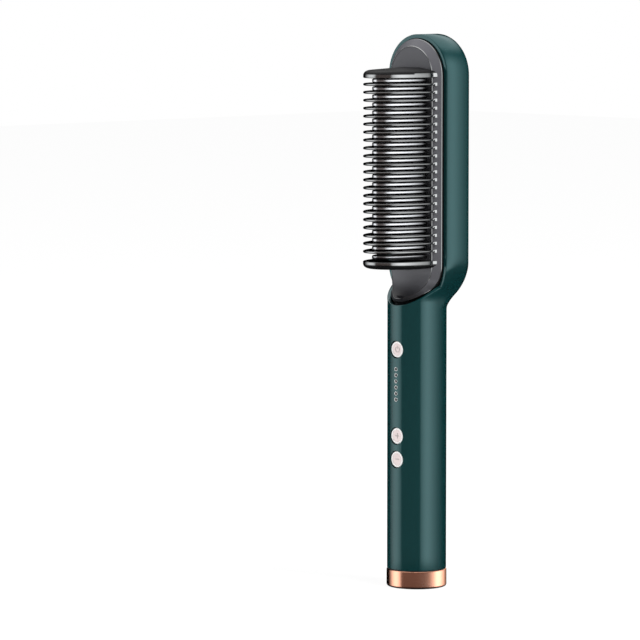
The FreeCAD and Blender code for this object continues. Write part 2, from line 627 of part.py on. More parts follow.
def guard_comb():
    """Panel, skirt, screw bosses and all the guard fins in one moulding."""
    room_half = PLATEAU_HALF_WIDTH - PANEL_WALL
    room_low = BASE_LOW - BASE_EAR_LENGTH - SLIDE_CLEARANCE
    room = front_prism(room_half, room_low, -OVERRUN, PLATEAU_INNER)
    room = room.fuse(slab(room_half, -OVERRUN, PLATEAU_INNER, room_low, NECK_TOP))
    fins = [moved(guard_fin(), level) for level in guard_levels()]
    fins += [moved(end_fin(1), TOP_END_FIN), moved(end_fin(-1), LOW_END_FIN)]
    panel = fused([panel_body()] + fins).cut(room)
    bosses = [peg(BOSS_RADIUS, x, level, EAR_FRONT, PLATEAU_INNER) for x, level in heater_screw_places()]
    comb = fused([panel] + skirt() + bosses)
    slot_half = HEATER_THICKNESS / 2 + SLOT_CLEARANCE
    slots = [slab(HEATER_FOOT_HALF_WIDTH + SLOT_CLEARANCE, 0, PLATEAU_HEIGHT + OVERRUN,
                  level - slot_half, level + slot_half) for level in heater_levels()]
    holes = [screw_hole(x, level, BASE_BACK, -1) for x, level in heater_screw_places()]
    holes += [screw_hole(x, level, SHIELD_BACK, -1) for x, level in shield_screw_places()]
    return comb.cut(slots + holes)


def heater_screw_places():
    """Places of the screws that hold the heater to the panel."""
    return [(side * HEATER_SCREW_HALF_SPACING, level)
            for side in (-1, 1) for level in (LOW_EAR_SCREW, TOP_EAR_SCREW)]


def shield_screw_places():
    """Places of the screws that hold the shield to its posts."""
    return [(side * SHIELD_POST_SIDE, NECK_TOP + share * HEAD_STRAIGHT)
            for side in (-1, 1) for share in SHIELD_POST_SHARES]


def clamp_screw_levels():
    """Levels of the two clamp screws."""
    return (CLAMP_LOW + CLAMP_FOOT_LENGTH / 2, CLAMP_TOP - CLAMP_FOOT_LENGTH / 2)


def heater_comb():
    """Heated fins on one base plate, with thinner ears for its screws."""
    base = slab(BASE_HALF_WIDTH, BASE_BACK, BASE_FRONT, BASE_LOW, BASE_TOP)
    ears = slab(BASE_EAR_HALF_WIDTH, BASE_BACK, EAR_FRONT, BASE_LOW - BASE_EAR_LENGTH,
                BASE_TOP + BASE_EAR_LENGTH)
    plate = fin_plate(0, HEATER_HEIGHT, HEATER_FOOT_HALF_WIDTH, HEATER_THICKNESS)
    fin = rounded_fin(plate, BASE_FRONT, HEATER_EDGE_ROUND)
    comb = fused([base, ears] + [moved(fin, level) for level in heater_levels()])
    holes = [screw_hole(x, level, BASE_BACK, -1) for x, level in heater_screw_places()]
    holes += [screw_hole(0, level, CLAMP_BACK, -1) for level in clamp_screw_levels()]
    return comb.cut(holes)


def heater_screws():
    """Screws through the heater's ears into the panel's bosses."""
    return Part.makeCompound([screw(x, level, BASE_BACK, -1) for x, level in heater_screw_places()])


def element_film():
    """Insulating sheet between the base plate and the element."""
    return slab(FILM_HALF_WIDTH, BASE_BACK - FILM_THICKNESS, BASE_BACK, ELEMENT_LOW, ELEMENT_TOP)


def heating_element():
    """Flat heating bar on the sheet."""
    return slab(ELEMENT_HALF_WIDTH, ELEMENT_BACK, BASE_BACK - FILM_THICKNESS, ELEMENT_LOW, ELEMENT_TOP)


def clamp_plate():
    """Steel strip that presses the element to the base plate, with a foot at each end."""
    strip = slab(CLAMP_FOOT_HALF_WIDTH, CLAMP_BACK, ELEMENT_BACK, CLAMP_LOW, CLAMP_TOP)
    feet = [slab(CLAMP_FOOT_HALF_WIDTH, CLAMP_BACK, BASE_BACK, low, low + CLAMP_FOOT_LENGTH)
            for low in (CLAMP_LOW, CLAMP_TOP - CLAMP_FOOT_LENGTH)]
    return fused([strip] + feet).cut([screw_hole(0, level, CLAMP_BACK, -1) for level in clamp_screw_levels()])


def clamp_screws():
    """The clamp's two screws."""
    return Part.makeCompound([screw(0, level, CLAMP_BACK, -1) for level in clamp_screw_levels()])


def heat_shield():
    """Tray behind the heater, rim against the skirt, screwed to its posts."""
    rim_half = SKIRT_HALF_WIDTH - SKIRT_WALL
    tray = front_prism(SKIRT_HALF_WIDTH, OPENING_LOW, SHIELD_BACK, -SKIRT_DEPTH)
    room = front_prism(rim_half, OPENING_LOW, SHIELD_FRONT, -SKIRT_DEPTH + OVERRUN)
    below = slab(HEAD_HALF_WIDTH, SHIELD_BACK - OVERRUN, OVERRUN, NECK_BOTTOM - OVERRUN, NECK_TOP)
    holes = [screw_hole(x, level, SHIELD_BACK, -1) for x, level in shield_screw_places()]
    return tray.cut([room, below] + holes)


def shield_screws():
    """The shield's four screws."""
    return Part.makeCompound([screw(x, level, SHIELD_BACK, -1) for x, level in shield_screw_places()])


def thermistor():
    """Bead on the base plate beside the element."""
    side = (BASE_HALF_WIDTH + FILM_HALF_WIDTH) / 2
    return post(THERMISTOR_RADIUS, HEATER_MIDDLE, HEATER_MIDDLE + THERMISTOR_LENGTH, side,
                THERMISTOR_RADIUS - BASE_BACK)


def thermal_cutout():
    """Thermal fuse on the base plate on the element's other side."""
    side = (BASE_HALF_WIDTH + FILM_HALF_WIDTH) / 2
    return post(CUTOUT_RADIUS, HEATER_MIDDLE, HEATER_MIDDLE + CUTOUT_LENGTH, -side, CUTOUT_RADIUS - BASE_BACK)


def button(level):
    """Round push button: dished cap with a rim, and a flange behind the handle's wall."""
    cap = peg(BUTTON_RADIUS, 0, level, FLANGE_BACK, BUTTON_FRONT)
    edge = [edge for edge in cap.Edges if edge.BoundBox.YMax < -BUTTON_FRONT + BUTTON_EDGE_ROUND]
    cap = cap.makeFillet(BUTTON_EDGE_ROUND, edge)
    dish = peg(BUTTON_RADIUS - BUTTON_RIM_WIDTH, 0, level, BUTTON_FRONT - BUTTON_DISH_DEPTH,
               BUTTON_FRONT + OVERRUN)
    flange = peg(FLANGE_RADIUS, 0, level, FLANGE_BACK, FLANGE_FRONT)
    return fused([cap, flange]).cut(dish)


def switch(level):
    """Push switch on the board, with a well for its plunger."""
    body = slab(SWITCH_HALF_WIDTH, BOARD_FRONT, SWITCH_FRONT, level - SWITCH_HALF_WIDTH,
                level + SWITCH_HALF_WIDTH)
    well_back = SWITCH_FRONT - PLUNGER_SINK - BUTTON_TRAVEL - SLIDE_CLEARANCE
    return body.cut(peg(PLUNGER_RADIUS + SLIDE_CLEARANCE, 0, level, well_back, SWITCH_FRONT + OVERRUN))


def plunger(level):
    """The switch's plunger, behind the button."""
    return peg(PLUNGER_RADIUS, 0, level, SWITCH_FRONT - PLUNGER_SINK, FLANGE_BACK)


def indicator_lenses():
    """Light guide: a bar on two feet with a round window for each indicator."""
    high = INDICATOR_LEVELS[0] + LIGHT_BAR_END
    low = INDICATOR_LEVELS[-1] - LIGHT_BAR_END
    bar_back = SWITCH_FRONT - LIGHT_BAR_THICKNESS
    bar = slab(LIGHT_BAR_HALF_WIDTH, bar_back, SWITCH_FRONT, low - LIGHT_BAR_END, high + LIGHT_BAR_END)
    feet = [slab(LIGHT_BAR_HALF_WIDTH, BOARD_FRONT, SWITCH_FRONT, start, start + LIGHT_BAR_END)
            for start in (low - LIGHT_BAR_END, high)]
    windows = [peg(INDICATOR_RADIUS, 0, level, bar_back, INDICATOR_FRONT) for level in INDICATOR_LEVELS]
    return fused([bar] + feet + windows)


def indicator_leds():
    """One small lamp under each window."""
    return Part.makeCompound([
        slab(LED_WIDTH / 2, BOARD_FRONT, BOARD_FRONT + LED_HEIGHT, level - LED_HEIGHT / 2,
             level + LED_HEIGHT / 2)
        for level in INDICATOR_LEVELS])


def board_screw_places():
    """Places of the board's screws, over the carrier's webs."""
    levels = (BOARD_LOW + CARRIER_WEB / 2, BOARD_TOP - CARRIER_WEB / 2)
    return [(side * BOARD_SCREW_HALF_SPACING, level) for side in (-1, 1) for level in levels]


def control_board():
    """Circuit board behind the buttons."""
    board = slab(BOARD_HALF_WIDTH, BOARD_BACK, BOARD_FRONT, BOARD_LOW, BOARD_TOP)
    return board.cut([screw_hole(x, level, BOARD_FRONT, 1) for x, level in board_screw_places()])


def board_screws():
    """Screws through the board into the carrier's webs."""
    return Part.makeCompound([screw(x, level, BOARD_FRONT, 1) for x, level in board_screw_places()])


def board_carrier():
    """Trough that slides into the handle, with two webs that the board is screwed to."""
    trough = post(CARRIER_RADIUS, CARRIER_LOW, CARRIER_TOP)
    trough = trough.cut(post(CARRIER_RADIUS - CARRIER_WALL, CARRIER_LOW - OVERRUN, CARRIER_TOP + OVERRUN))
    webs = [post(CARRIER_RADIUS - CARRIER_WALL / 2, low, low + CARRIER_WEB)
            for low in (BOARD_LOW, BOARD_TOP - CARRIER_WEB)]
    front = slab(HANDLE_RADIUS, BOARD_BACK, HANDLE_RADIUS, CARRIER_LOW - OVERRUN, CARRIER_TOP + OVERRUN)
    window = slab(CARRIER_WINDOW_HALF_WIDTH, -BOARD_FRONT, HANDLE_RADIUS, CARRIER_LOW - OVERRUN,
                  CARRIER_TOP + OVERRUN)
    carrier = fused([trough] + webs).cut([front, window])
    return carrier.cut([screw_hole(x, level, BOARD_FRONT, 1) for x, level in board_screw_places()])


def board_box(size, share):
    """Box-shaped part on the back of the board."""
    width, height, length = size
    level = BOARD_LOW + share * BOARD_LENGTH
    return slab(width / 2, BOARD_BACK - height, BOARD_BACK, level - length / 2, level + length / 2)


def fuse():
    """Round fuse across the back of the board."""
    level = BOARD_LOW + FUSE_SHARE * BOARD_LENGTH
    start = Vector(-FUSE_LENGTH / 2, FUSE_RADIUS - BOARD_BACK, level)
    return Part.makeCylinder(FUSE_RADIUS, FUSE_LENGTH, start, Vector(1, 0, 0))


def lead(points):
    """Round lead along straight runs joined by arcs."""
    edges = []
    start = points[0]
    for before, corner, after in zip(points, points[1:], points[2:]):
        into = (before - corner).normalize()
        out = (after - corner).normalize()
        turn = math.pi - into.getAngle(out)
        reach = LEAD_BEND * math.tan(turn / 2)
        enter = corner + into * reach
        leave = corner + out * reach
        toward = (into + out).normalize()
        middle = corner + toward * (LEAD_BEND / math.cos(turn / 2) - LEAD_BEND)
        edges.append(Part.LineSegment(start, enter).toShape())
        edges.append(Part.Arc(enter, middle, leave).toShape())
        start = leave
    edges.append(Part.LineSegment(start, points[-1]).toShape())
    direction = (points[1] - points[0]).normalize()
    ring = Part.Wire(Part.makeCircle(LEAD_RADIUS, points[0], direction))
    return Part.Wire(edges).makePipeShell([ring], True, False)


def heater_leads():
    """Two leads from the board's connector up the neck to the element."""
    width, height, length = CONNECTOR_SIZE
    start = BOARD_LOW + CONNECTOR_SHARE * BOARD_LENGTH + length / 2
    depth = BOARD_BACK - height / 2
    leads = []
    for side in (-1, 1):
        x = side * LEAD_HALF_SPACING
        leads.append(lead([
            Vector(x, -depth, start),
            Vector(x, -depth, BOARD_TOP),
            Vector(x, -LEAD_DEPTH, NECK_BOTTOM),
            Vector(x, -LEAD_DEPTH, ELEMENT_LOW),
        ]))
    return Part.makeCompound(leads)


def mains_leads():
    """Two leads from the contact leaves up to the board's lower edge."""
    depth = LEAF_THICKNESS / 2 - BRUSH_BLOCK_FRONT
    end_depth = BOARD_BACK - BOARD_THICKNESS
    end = BOARD_LOW + CAPACITOR_SHARE * BOARD_LENGTH - CAPACITOR_SIZE[2] / 2
    bends = [BRUSH_BLOCK_TOP + share * (end - BRUSH_BLOCK_TOP) for share in LEAD_BEND_SHARES]
    leads = []
    for side in (-1, 1):
        x = side * (LEAD_HALF_SPACING - LEAF_WIDTH / 2)
        leads.append(lead([
            Vector(x, -depth, BRUSH_BLOCK_TOP),
            Vector(x, -depth, bends[0]),
            Vector(x, -end_depth, bends[1]),
            Vector(x, -end_depth, end),
        ]))
    return Part.makeCompound(leads)


PIECES = {
    "body_shell": body_shell,
    "end_cap": end_cap,
    "cord_swivel": cord_swivel,
    "swivel_retainer": swivel_retainer,
    "retainer_screws": retainer_screws,
    "slip_rings": slip_rings,
    "brush_block": brush_block,
    "contact_leaves": contact_leaves,
    "guard_comb": guard_comb,
    "heater_comb": heater_comb,
    "heater_screws": heater_screws,
    "element_film": element_film,
    "heating_element": heating_element,
    "clamp_plate": clamp_plate,
    "clamp_screws": clamp_screws,
    "heat_shield": heat_shield,
    "shield_screws": shield_screws,
    "thermistor": thermistor,
    "thermal_cutout": thermal_cutout,
    "indicator_lenses": indicator_lenses,
    "indicator_leds": indicator_leds,
    "control_board": control_board,
    "board_screws": board_screws,
    "board_carrier": board_carrier,
    "fuse": fuse,
    "heater_leads": heater_leads,
    "mains_leads": mains_leads,
}
BOARD_BOXES = {
    "control_chip": (CHIP_SIZE, CHIP_SHARE),
    "triac": (TRIAC_SIZE, TRIAC_SHARE),
    "film_capacitor": (CAPACITOR_SIZE, CAPACITOR_SHARE),
    "lead_connector": (CONNECTOR_SIZE, CONNECTOR_SHARE),
}

os.makedirs("parts", exist_ok=True)
for name, make in PIECES.items():
    make().exportStep("parts/" + name + ".step")
for name, (size, share) in BOARD_BOXES.items():
    board_box(size, share).exportStep("parts/" + name + ".step")
for name, level in BUTTON_LEVELS.items():
    button(level).exportStep("parts/" + name + "_button.step")
    switch(level).exportStep("parts/" + name + "_switch.step")
    plunger(level).exportStep("parts/" + name + "_plunger.step")
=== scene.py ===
# %% [markdown]
# # A heated styling brush
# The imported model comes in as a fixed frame: every solid is already at its real size and place,
# in metres. This lesson dresses that frame. Some solids only need a finish; others get a finer
# piece that stands for them, made with the same tools a modeller uses by hand. The handle's axis
# is Z and the comb faces -Y.

# %% Load the frame
import bmesh
import bpy
import json
import math
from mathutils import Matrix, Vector


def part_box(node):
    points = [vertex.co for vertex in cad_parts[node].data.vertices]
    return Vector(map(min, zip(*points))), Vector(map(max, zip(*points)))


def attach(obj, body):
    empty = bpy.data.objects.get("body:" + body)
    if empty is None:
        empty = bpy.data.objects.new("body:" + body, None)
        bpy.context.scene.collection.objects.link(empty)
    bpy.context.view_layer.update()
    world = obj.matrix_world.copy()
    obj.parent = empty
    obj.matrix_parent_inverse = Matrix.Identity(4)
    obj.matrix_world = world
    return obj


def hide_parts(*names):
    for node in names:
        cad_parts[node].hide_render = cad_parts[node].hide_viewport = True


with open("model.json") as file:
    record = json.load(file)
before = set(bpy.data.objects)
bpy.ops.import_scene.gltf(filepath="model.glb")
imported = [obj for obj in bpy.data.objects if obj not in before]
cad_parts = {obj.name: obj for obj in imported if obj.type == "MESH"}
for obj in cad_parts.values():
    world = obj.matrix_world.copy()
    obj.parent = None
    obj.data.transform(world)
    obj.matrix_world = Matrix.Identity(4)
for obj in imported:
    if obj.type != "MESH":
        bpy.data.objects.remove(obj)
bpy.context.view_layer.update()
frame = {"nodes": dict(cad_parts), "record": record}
nodes = frame["nodes"]
scene = bpy.context.scene
scene.view_settings.view_transform = "Standard"
MM = 0.001

# %% [markdown]
# ## Camera
# A product photographer stands well back with a long lens, so that upright edges stay upright,
# and a little above the object, so that its ring at the foot shows as a curve. The brush stands
# right of the middle of the picture, so the camera is turned a little to the left of it: that
# keeps the view of its sides.

# %% Camera
camera_turn = math.radians(45)
camera_distance = 2200 * MM
camera_height = 336.9 * MM
look_left = math.radians(1.279)
look_down = math.radians(5.231)
lens_length = 245.43
film_width = 36
farthest_seen = 20
camera_place = (camera_distance * math.sin(camera_turn),
                -camera_distance * math.cos(camera_turn), camera_height)
bpy.ops.object.select_all(action="DESELECT")
bpy.ops.object.camera_add(
    location=camera_place, rotation=(math.pi / 2 - look_down, 0, camera_turn + look_left))
camera = bpy.context.object
camera.name = "studio_camera"
camera.data.lens = lens_length
camera.data.sensor_width = film_width
camera.data.clip_end = farthest_seen
scene.camera = camera
print("camera at", [round(v, 3) for v in camera.location])


# %% [markdown]
# ## Writing finishes as sums
# A finish is a small network of nodes, and sums are easier to read than node links. The class
# below wraps one socket, so that an expression such as 1 - mask * 0.2 adds its own Math nodes.

# %% Sums on sockets
class Reading:
    """One socket's value, which can be added, taken away, multiplied and divided like a number."""

    def __init__(self, tree, socket):
        self.tree = tree
        self.socket = socket

    def math(self, operation, first, second):
        node = self.tree.nodes.new("ShaderNodeMath")
        node.operation = operation
        for slot, term in zip(node.inputs, (first, second)):
            if isinstance(term, Reading):
                self.tree.links.new(term.socket, slot)
            else:
                slot.default_value = term
        return Reading(self.tree, node.outputs[0])

    def __add__(self, other):
        return self.math("ADD", self, other)

    def __radd__(self, other):
        return self.math("ADD", other, self)

    def __sub__(self, other):
        return self.math("SUBTRACT", self, other)

    def __rsub__(self, other):
        return self.math("SUBTRACT", other, self)

    def __mul__(self, other):
        return self.math("MULTIPLY", self, other)

    def __rmul__(self, other):
        return self.math("MULTIPLY", other, self)

    def __truediv__(self, other):
        return self.math("DIVIDE", self, other)


print("sums on sockets ready")


# %% [markdown]
# Every other node comes from one method: its type, then its settings, then the values or links of
# its sockets. The rest of the class are short names for what the finishes use again and again: a
# noise of a given size, a blend of two colours, a soft step, a bump.

# %% One method for nodes
class Finish:
    """A material's tree, or the world's, with one method that adds a node."""

    def __init__(self, owner):
        owner.use_nodes = True
        self.owner = owner
        self.tree = owner.node_tree
        self.tree.nodes.clear()

    def node(self, kind, settings=None, sockets=None):
        made = self.tree.nodes.new(kind)
        for key, value in (settings or {}).items():
            if key == "stops":
                ramp = made.color_ramp.elements
                while len(ramp) < len(value):
                    ramp.new(1.0)
                for stop, (place, color) in zip(ramp, value):
                    stop.position = place
                    stop.color = color
            else:
                setattr(made, key, value)
        for key, value in (sockets or {}).items():
            if isinstance(value, Reading):
                self.tree.links.new(value.socket, made.inputs[key])
            else:
                made.inputs[key].default_value = value
        return made

    def read(self, made, output):
        """One output of a node, by its name or number."""
        return Reading(self.tree, made.outputs[output])

    def place(self):
        """Object coordinates, in metres."""
        return self.read(self.node("ShaderNodeTexCoord"), "Object")

    def axes(self):
        """The three Object coordinates as numbers."""
        parts = self.node("ShaderNodeSeparateXYZ", sockets={"Vector": self.place()})
        return [self.read(parts, axis) for axis in "XYZ"]

    def noise(self, size, detail, stretch=(1, 1, 1)):
        """Cloudy values from 0 to 1 whose lumps are about this size."""
        mapped = self.node("ShaderNodeMapping", sockets={
            "Vector": self.place(), "Scale": stretch})
        made = self.node("ShaderNodeTexNoise", sockets={
            "Vector": self.read(mapped, "Vector"), "Scale": 1 / size,
            "Detail": detail, "Roughness": 0.55})
        return self.read(made, "Fac")

    def soft_step(self, reading, start, end):
        """Zero at start, one at end, with soft ends."""
        made = self.node("ShaderNodeMapRange", {"interpolation_type": "SMOOTHSTEP"}, {
            "Value": reading, "From Min": start, "From Max": end})
        return self.read(made, "Result")

    def blend(self, share, first, second):
        """A colour between two others; sockets 6 and 7 of a Mix node are its colours."""
        made = self.node("ShaderNodeMix", {"data_type": "RGBA"}, {0: share, 6: first, 7: second})
        return self.read(made, 2)

    def bump(self, height, depth, strength=1.0, under=None):
        """A normal that follows a height, times a depth in metres, over another normal if given."""
        sockets = {"Strength": strength, "Distance": depth, "Height": height}
        if under:
            sockets["Normal"] = under
        return self.read(self.node("ShaderNodeBump", sockets=sockets), "Normal")

    def plain(self, sockets):
        """The finished surface: one Principled shader on the output."""
        shader = self.node("ShaderNodeBsdfPrincipled", sockets=sockets)
        self.node("ShaderNodeOutputMaterial", sockets={0: self.read(shader, 0)})
        print(self.owner.name, len(self.tree.nodes), "nodes")
        return self.owner


def finish(name):
    return Finish(bpy.data.materials.new(name))


print("finish helpers ready")

# %% [markdown]
# ## Green lacquer
# The shell is one moulding sprayed with a dark green gloss that has a little pearl in it, so its
# highlights keep a green tint. Sprayed gloss is never perfectly flat: it has a faint ripple and a
# few cloudy marks where hands have wiped it. The ripple is a shallow bump, the marks change only
# the roughness. The head's sides are slightly crowned from front to back: a second bump, as high
# as the crown and fading out down the neck, rounds their reflections without making the head wider
# than the frame.

# %% Green lacquer
crown_depth = 13.0 * MM
crown_slope = 0.66
crown_low = 146 * MM
crown_high = 170 * MM
true_height = 1.0
lacquer = finish("green_lacquer")
cloud = lacquer.noise(30 * MM, 3)
marks = lacquer.noise(6 * MM, 4)
ripple = lacquer.noise(3.5 * MM, 1)
rearward, level = lacquer.axes()[1:]
back = rearward.math("MINIMUM", rearward.math("MAXIMUM", rearward, 0.0), crown_depth)
head_share = lacquer.soft_step(level, crown_low, crown_high)
crown = (back - back * back / (2 * crown_depth)) * crown_slope * head_share
crowned = lacquer.bump(crown, true_height)
green_lacquer = lacquer.plain({
    "Base Color": lacquer.blend(cloud, (0.0045, 0.039, 0.041, 1), (0.0060, 0.046, 0.048, 1)),
    "Metallic": 0.22 + 0.1 * (cloud - 0.5),
    "Roughness": 0.09 + 0.08 * (marks - 0.45),
    "Normal": lacquer.bump(ripple, 0.01 * MM, 1.0, crowned),
    "Specular IOR Level": 0.55,
    "Specular Tint": (0.72, 0.98, 1.0, 1),
    "Coat Weight": 0.05 + 0.08 * cloud,
    "Coat Roughness": 0.06,
})

# %% [markdown]
# ## Satin black of the comb
# The guard comb is a heat-proof moulding with a fine spark-eroded grain. The grain is far smaller
# than the fins, so it only softens the highlight; a slower cloud keeps large faces from looking
# flat. Low in the thumb's scoop the colour is darkened with the height: painted shade in the scoop.

# %% Satin black
scoop_shade_full = 147 * MM
scoop_shade_ends = 157 * MM
satin = finish("satin_black")
grain = satin.noise(0.35 * MM, 2)
cloud = satin.noise(12 * MM, 3)
# Painted shade: the base colour darkens low in the thumb's scoop.
above_scoop_shade = satin.soft_step(satin.axes()[2], scoop_shade_full, scoop_shade_ends)
even = satin.blend(cloud, (0.092, 0.092, 0.102, 1), (0.110, 0.110, 0.122, 1))
satin_black = satin.plain({
    "Base Color": satin.blend(above_scoop_shade, (0.016, 0.016, 0.019, 1), even),
    "Roughness": 0.42 + 0.12 * (grain - 0.5) + 0.08 * (cloud - 0.5),
    "Normal": satin.bump(grain, 0.01 * MM, 0.6),
    "Specular IOR Level": 0.3,
})

# %% [markdown]
# ## Gloss black of the guard fins
# The guard fins belong to the same moulding, but their part of the mould is polished, so that hair
# slides over them. Deep black with a hard highlight needs a dense plastic: a high refractive index
# does that without making the black itself lighter. Handling leaves a faint haze, which only
# changes the roughness.

# %% Gloss black
gloss = finish("gloss_black")
haze = gloss.noise(5 * MM, 3)
flow = gloss.noise(2.5 * MM, 1)
gloss_black = gloss.plain({
    "Base Color": gloss.blend(haze, (0.0035, 0.0035, 0.004, 1), (0.006, 0.006, 0.0065, 1)),
    "Roughness": 0.12 + 0.06 * (haze - 0.5),
    "Normal": gloss.bump(flow, 0.008 * MM, 0.6),
    "IOR": 2.2,
    "Specular IOR Level": 1.0,
})

# %% [markdown]
# Outside the end fins the mould was left unpolished, so the black is dull there: a low specular
# level keeps light out, as open pores do. In the shadow groove round the panel the same near-black,
# much darker than the satin, is painted shade.

# %% Dull black
# In the groove this near-black colour is painted shade.
dull = finish("dull_and_shade_black")
pores = dull.noise(0.4 * MM, 2)
dull_and_shade_black = dull.plain({
    "Base Color": dull.blend(pores, (0.004, 0.004, 0.0045, 1), (0.008, 0.008, 0.0085, 1)),
    "Roughness": 0.5 + 0.1 * (pores - 0.5),
    "Normal": dull.bump(pores, 0.008 * MM, 0.5),
    "Specular IOR Level": 0.18,
})

# %% [markdown]
# ## Glaze on the heated fins
# The heated fins are cast metal under a thin dark glaze, polished so that hair slides over it. It
# mirrors the lamps almost like dark chrome, and the casting's faint waviness bends those
# reflections a little. Along both edges of every fin the colour is painted nearly black, as painted
# shade that narrows each fin's highlight; the distance from the middle of the nearest fin says
# where, and a heated fin stands half a pitch above each guard fin. Towards the panel the colour
# darkens too: painted shade between the fins.

# %% Dark glaze
fin_pitch = 3.991 * MM
first_fin = 171.5 * MM
edge_shade_starts = 0.32 * MM
edge_shade_full = 0.78 * MM
shade_starts = -15 * MM
shade_full = -4 * MM
shade_share = 0.85
glaze = finish("dark_glaze")
wave = glaze.noise(4 * MM, 2)
film = glaze.noise(11 * MM, 3)
forward, level = glaze.axes()[1:]
above_first = level - (first_fin + fin_pitch / 2)
from_middle = above_first.math("PINGPONG", above_first, fin_pitch / 2)
# Painted shade: dark edges of every heated fin, and darker towards the panel.
edge_shade = glaze.soft_step(from_middle, edge_shade_starts, edge_shade_full)
near_panel = glaze.soft_step(forward, shade_starts, shade_full)
painted_shade = 1 - (1 - edge_shade) * (1 - shade_share * near_panel)
clear = glaze.blend(film, (0.56, 0.56, 0.58, 1), (0.64, 0.64, 0.66, 1))
dark_glaze = glaze.plain({
    "Base Color": glaze.blend(painted_shade, clear, (0.03, 0.03, 0.032, 1)),
    "Metallic": 0.95,
    "Roughness": 0.30 + 0.06 * (film - 0.5),
    "Normal": glaze.bump(wave, 0.02 * MM, 0.5),
})

# %% [markdown]
# ## Rose gold
# The end cap is plated metal, turned and then buffed. Buffing leaves very fine rings round the
# axis, which show as a slight spread of the highlight up and down. Noise that is stretched round
# the axis would need polar coordinates; noise squeezed along Z gives the same rings on a cap this
# low. One flank has been buffed flatter than the rest: a bump that climbs with the heading, and
# sinks again behind, does that.

# %% Rose gold
flank_start = math.radians(35)
flank_fades = math.radians(100)
flank_ends = math.radians(178)
flank_climb = 15 * MM * 0.49
diagonal = math.sqrt(0.5)
plate = finish("rose_gold")
rings = plate.noise(1.2 * MM, 3, (0.02, 0.02, 4.0))
tarnish = plate.noise(9 * MM, 3)
plate_x, plate_y = plate.axes()[:2]
outward = (plate_x - plate_y) * diagonal
sideways = (plate_x + plate_y) * diagonal
flank = outward.math("MAXIMUM", outward.math("ARCTAN2", sideways, outward), 0.0)
near = outward.math("MINIMUM", flank, flank_start)
climb = near * near / (2 * flank_start) + flank - near
behind = plate.soft_step(flank, flank_fades, flank_ends)
buffed = plate.bump(climb * (1 - behind) * flank_climb, true_height)
rose_gold = plate.plain({
    "Base Color": plate.blend(tarnish, (0.86, 0.40, 0.26, 1), (0.90, 0.45, 0.31, 1)),
    "Metallic": 1.0,
    "Roughness": 0.15 + 0.06 * rings + 0.05 * (tarnish - 0.5),
    "Normal": plate.bump(rings, 0.004 * MM, 0.5, buffed),
    "Coat Weight": 0.08 + 0.08 * tarnish,
    "Coat Roughness": 0.15,
})

# %% [markdown]
# ## Pale rose buttons
# The button caps are moulded in pale plastic and vacuum coated, so they look like pearl: nearly
# white, with a rose tint, and a soft highlight.

# %% Pale rose
pearl = finish("pale_rose")
fleck = pearl.noise(0.4 * MM, 2)
tint = pearl.noise(3 * MM, 2)
pale_rose = pearl.plain({
    "Base Color": pearl.blend(tint, (0.62, 0.51, 0.50, 1), (0.69, 0.58, 0.57, 1)),
    "Metallic": 0.15 + 0.15 * fleck,
    "Roughness": 0.30 + 0.15 * (fleck - 0.5),
    "Normal": pearl.bump(fleck, 0.006 * MM, 0.4),
    "Coat Weight": 0.4 + 0.2 * tint,
    "Coat Roughness": 0.12,
})

# %% [markdown]
# The rim of a button is coloured nearly white as a painted highlight along its edge, and the signs
# are picked out in a warm grey. Both are small, so a fleck of noise in the colour and the gloss is
# detail enough.

# %% Rims and signs
# Painted highlight: the near-white of the button rims and the window rings.
rim = finish("pale_rim_highlight")
fleck = rim.noise(0.4 * MM, 2)
pale_rim_highlight = rim.plain({
    "Base Color": rim.blend(fleck, (0.92, 0.91, 0.90, 1), (0.96, 0.95, 0.94, 1)),
    "Roughness": 0.22 + 0.1 * (fleck - 0.5),
    "Coat Weight": 0.5 + 0.2 * fleck,
    "Coat Roughness": 0.1,
})
sign = finish("sign_grey")
fleck = sign.noise(0.3 * MM, 2)
sign_grey = sign.plain({
    "Base Color": sign.blend(fleck, (0.36, 0.33, 0.32, 1), (0.46, 0.42, 0.40, 1)),
    "Roughness": 0.4 + 0.1 * (fleck - 0.5),
})


# %% [markdown]
# ## Finishes of the inner parts
# Nobody sees these on the finished brush, but they belong to it: a repairer who opens the shell
# does. They are of two kinds. Moulded and pressed parts have a fine grain over a slow change of
# shade; drawn and plated metal has fine lines along the part. One function for each kind is enough.

# %% Two kinds of inner finish
def moulded(name, dark, light, roughness, grain_size=0.5 * MM):
    """Moulded plastic: a fine grain over a slow change of shade."""
    made = finish(name)
    grain = made.noise(grain_size, 2)
    cloud = made.noise(grain_size * 30, 3)
    return made.plain({
        "Base Color": made.blend(cloud, dark, light),
        "Roughness": roughness + 0.15 * (grain - 0.5),
        "Normal": made.bump(grain, grain_size * 0.03, 0.6),
    })


def plated(name, dark, light, roughness):
    """Plated or drawn metal: fine lines along the part over a slow change of tone."""
    made = finish(name)
    lines = made.noise(0.9 * MM, 3, (4.0, 4.0, 0.15))
    tone = made.noise(5 * MM, 3)
    return made.plain({
        "Base Color": made.blend(tone, dark, light),
        "Metallic": 1.0,
        "Roughness": roughness + 0.12 * (lines - 0.5),
        "Normal": made.bump(lines, 0.006 * MM, 0.5),
    })


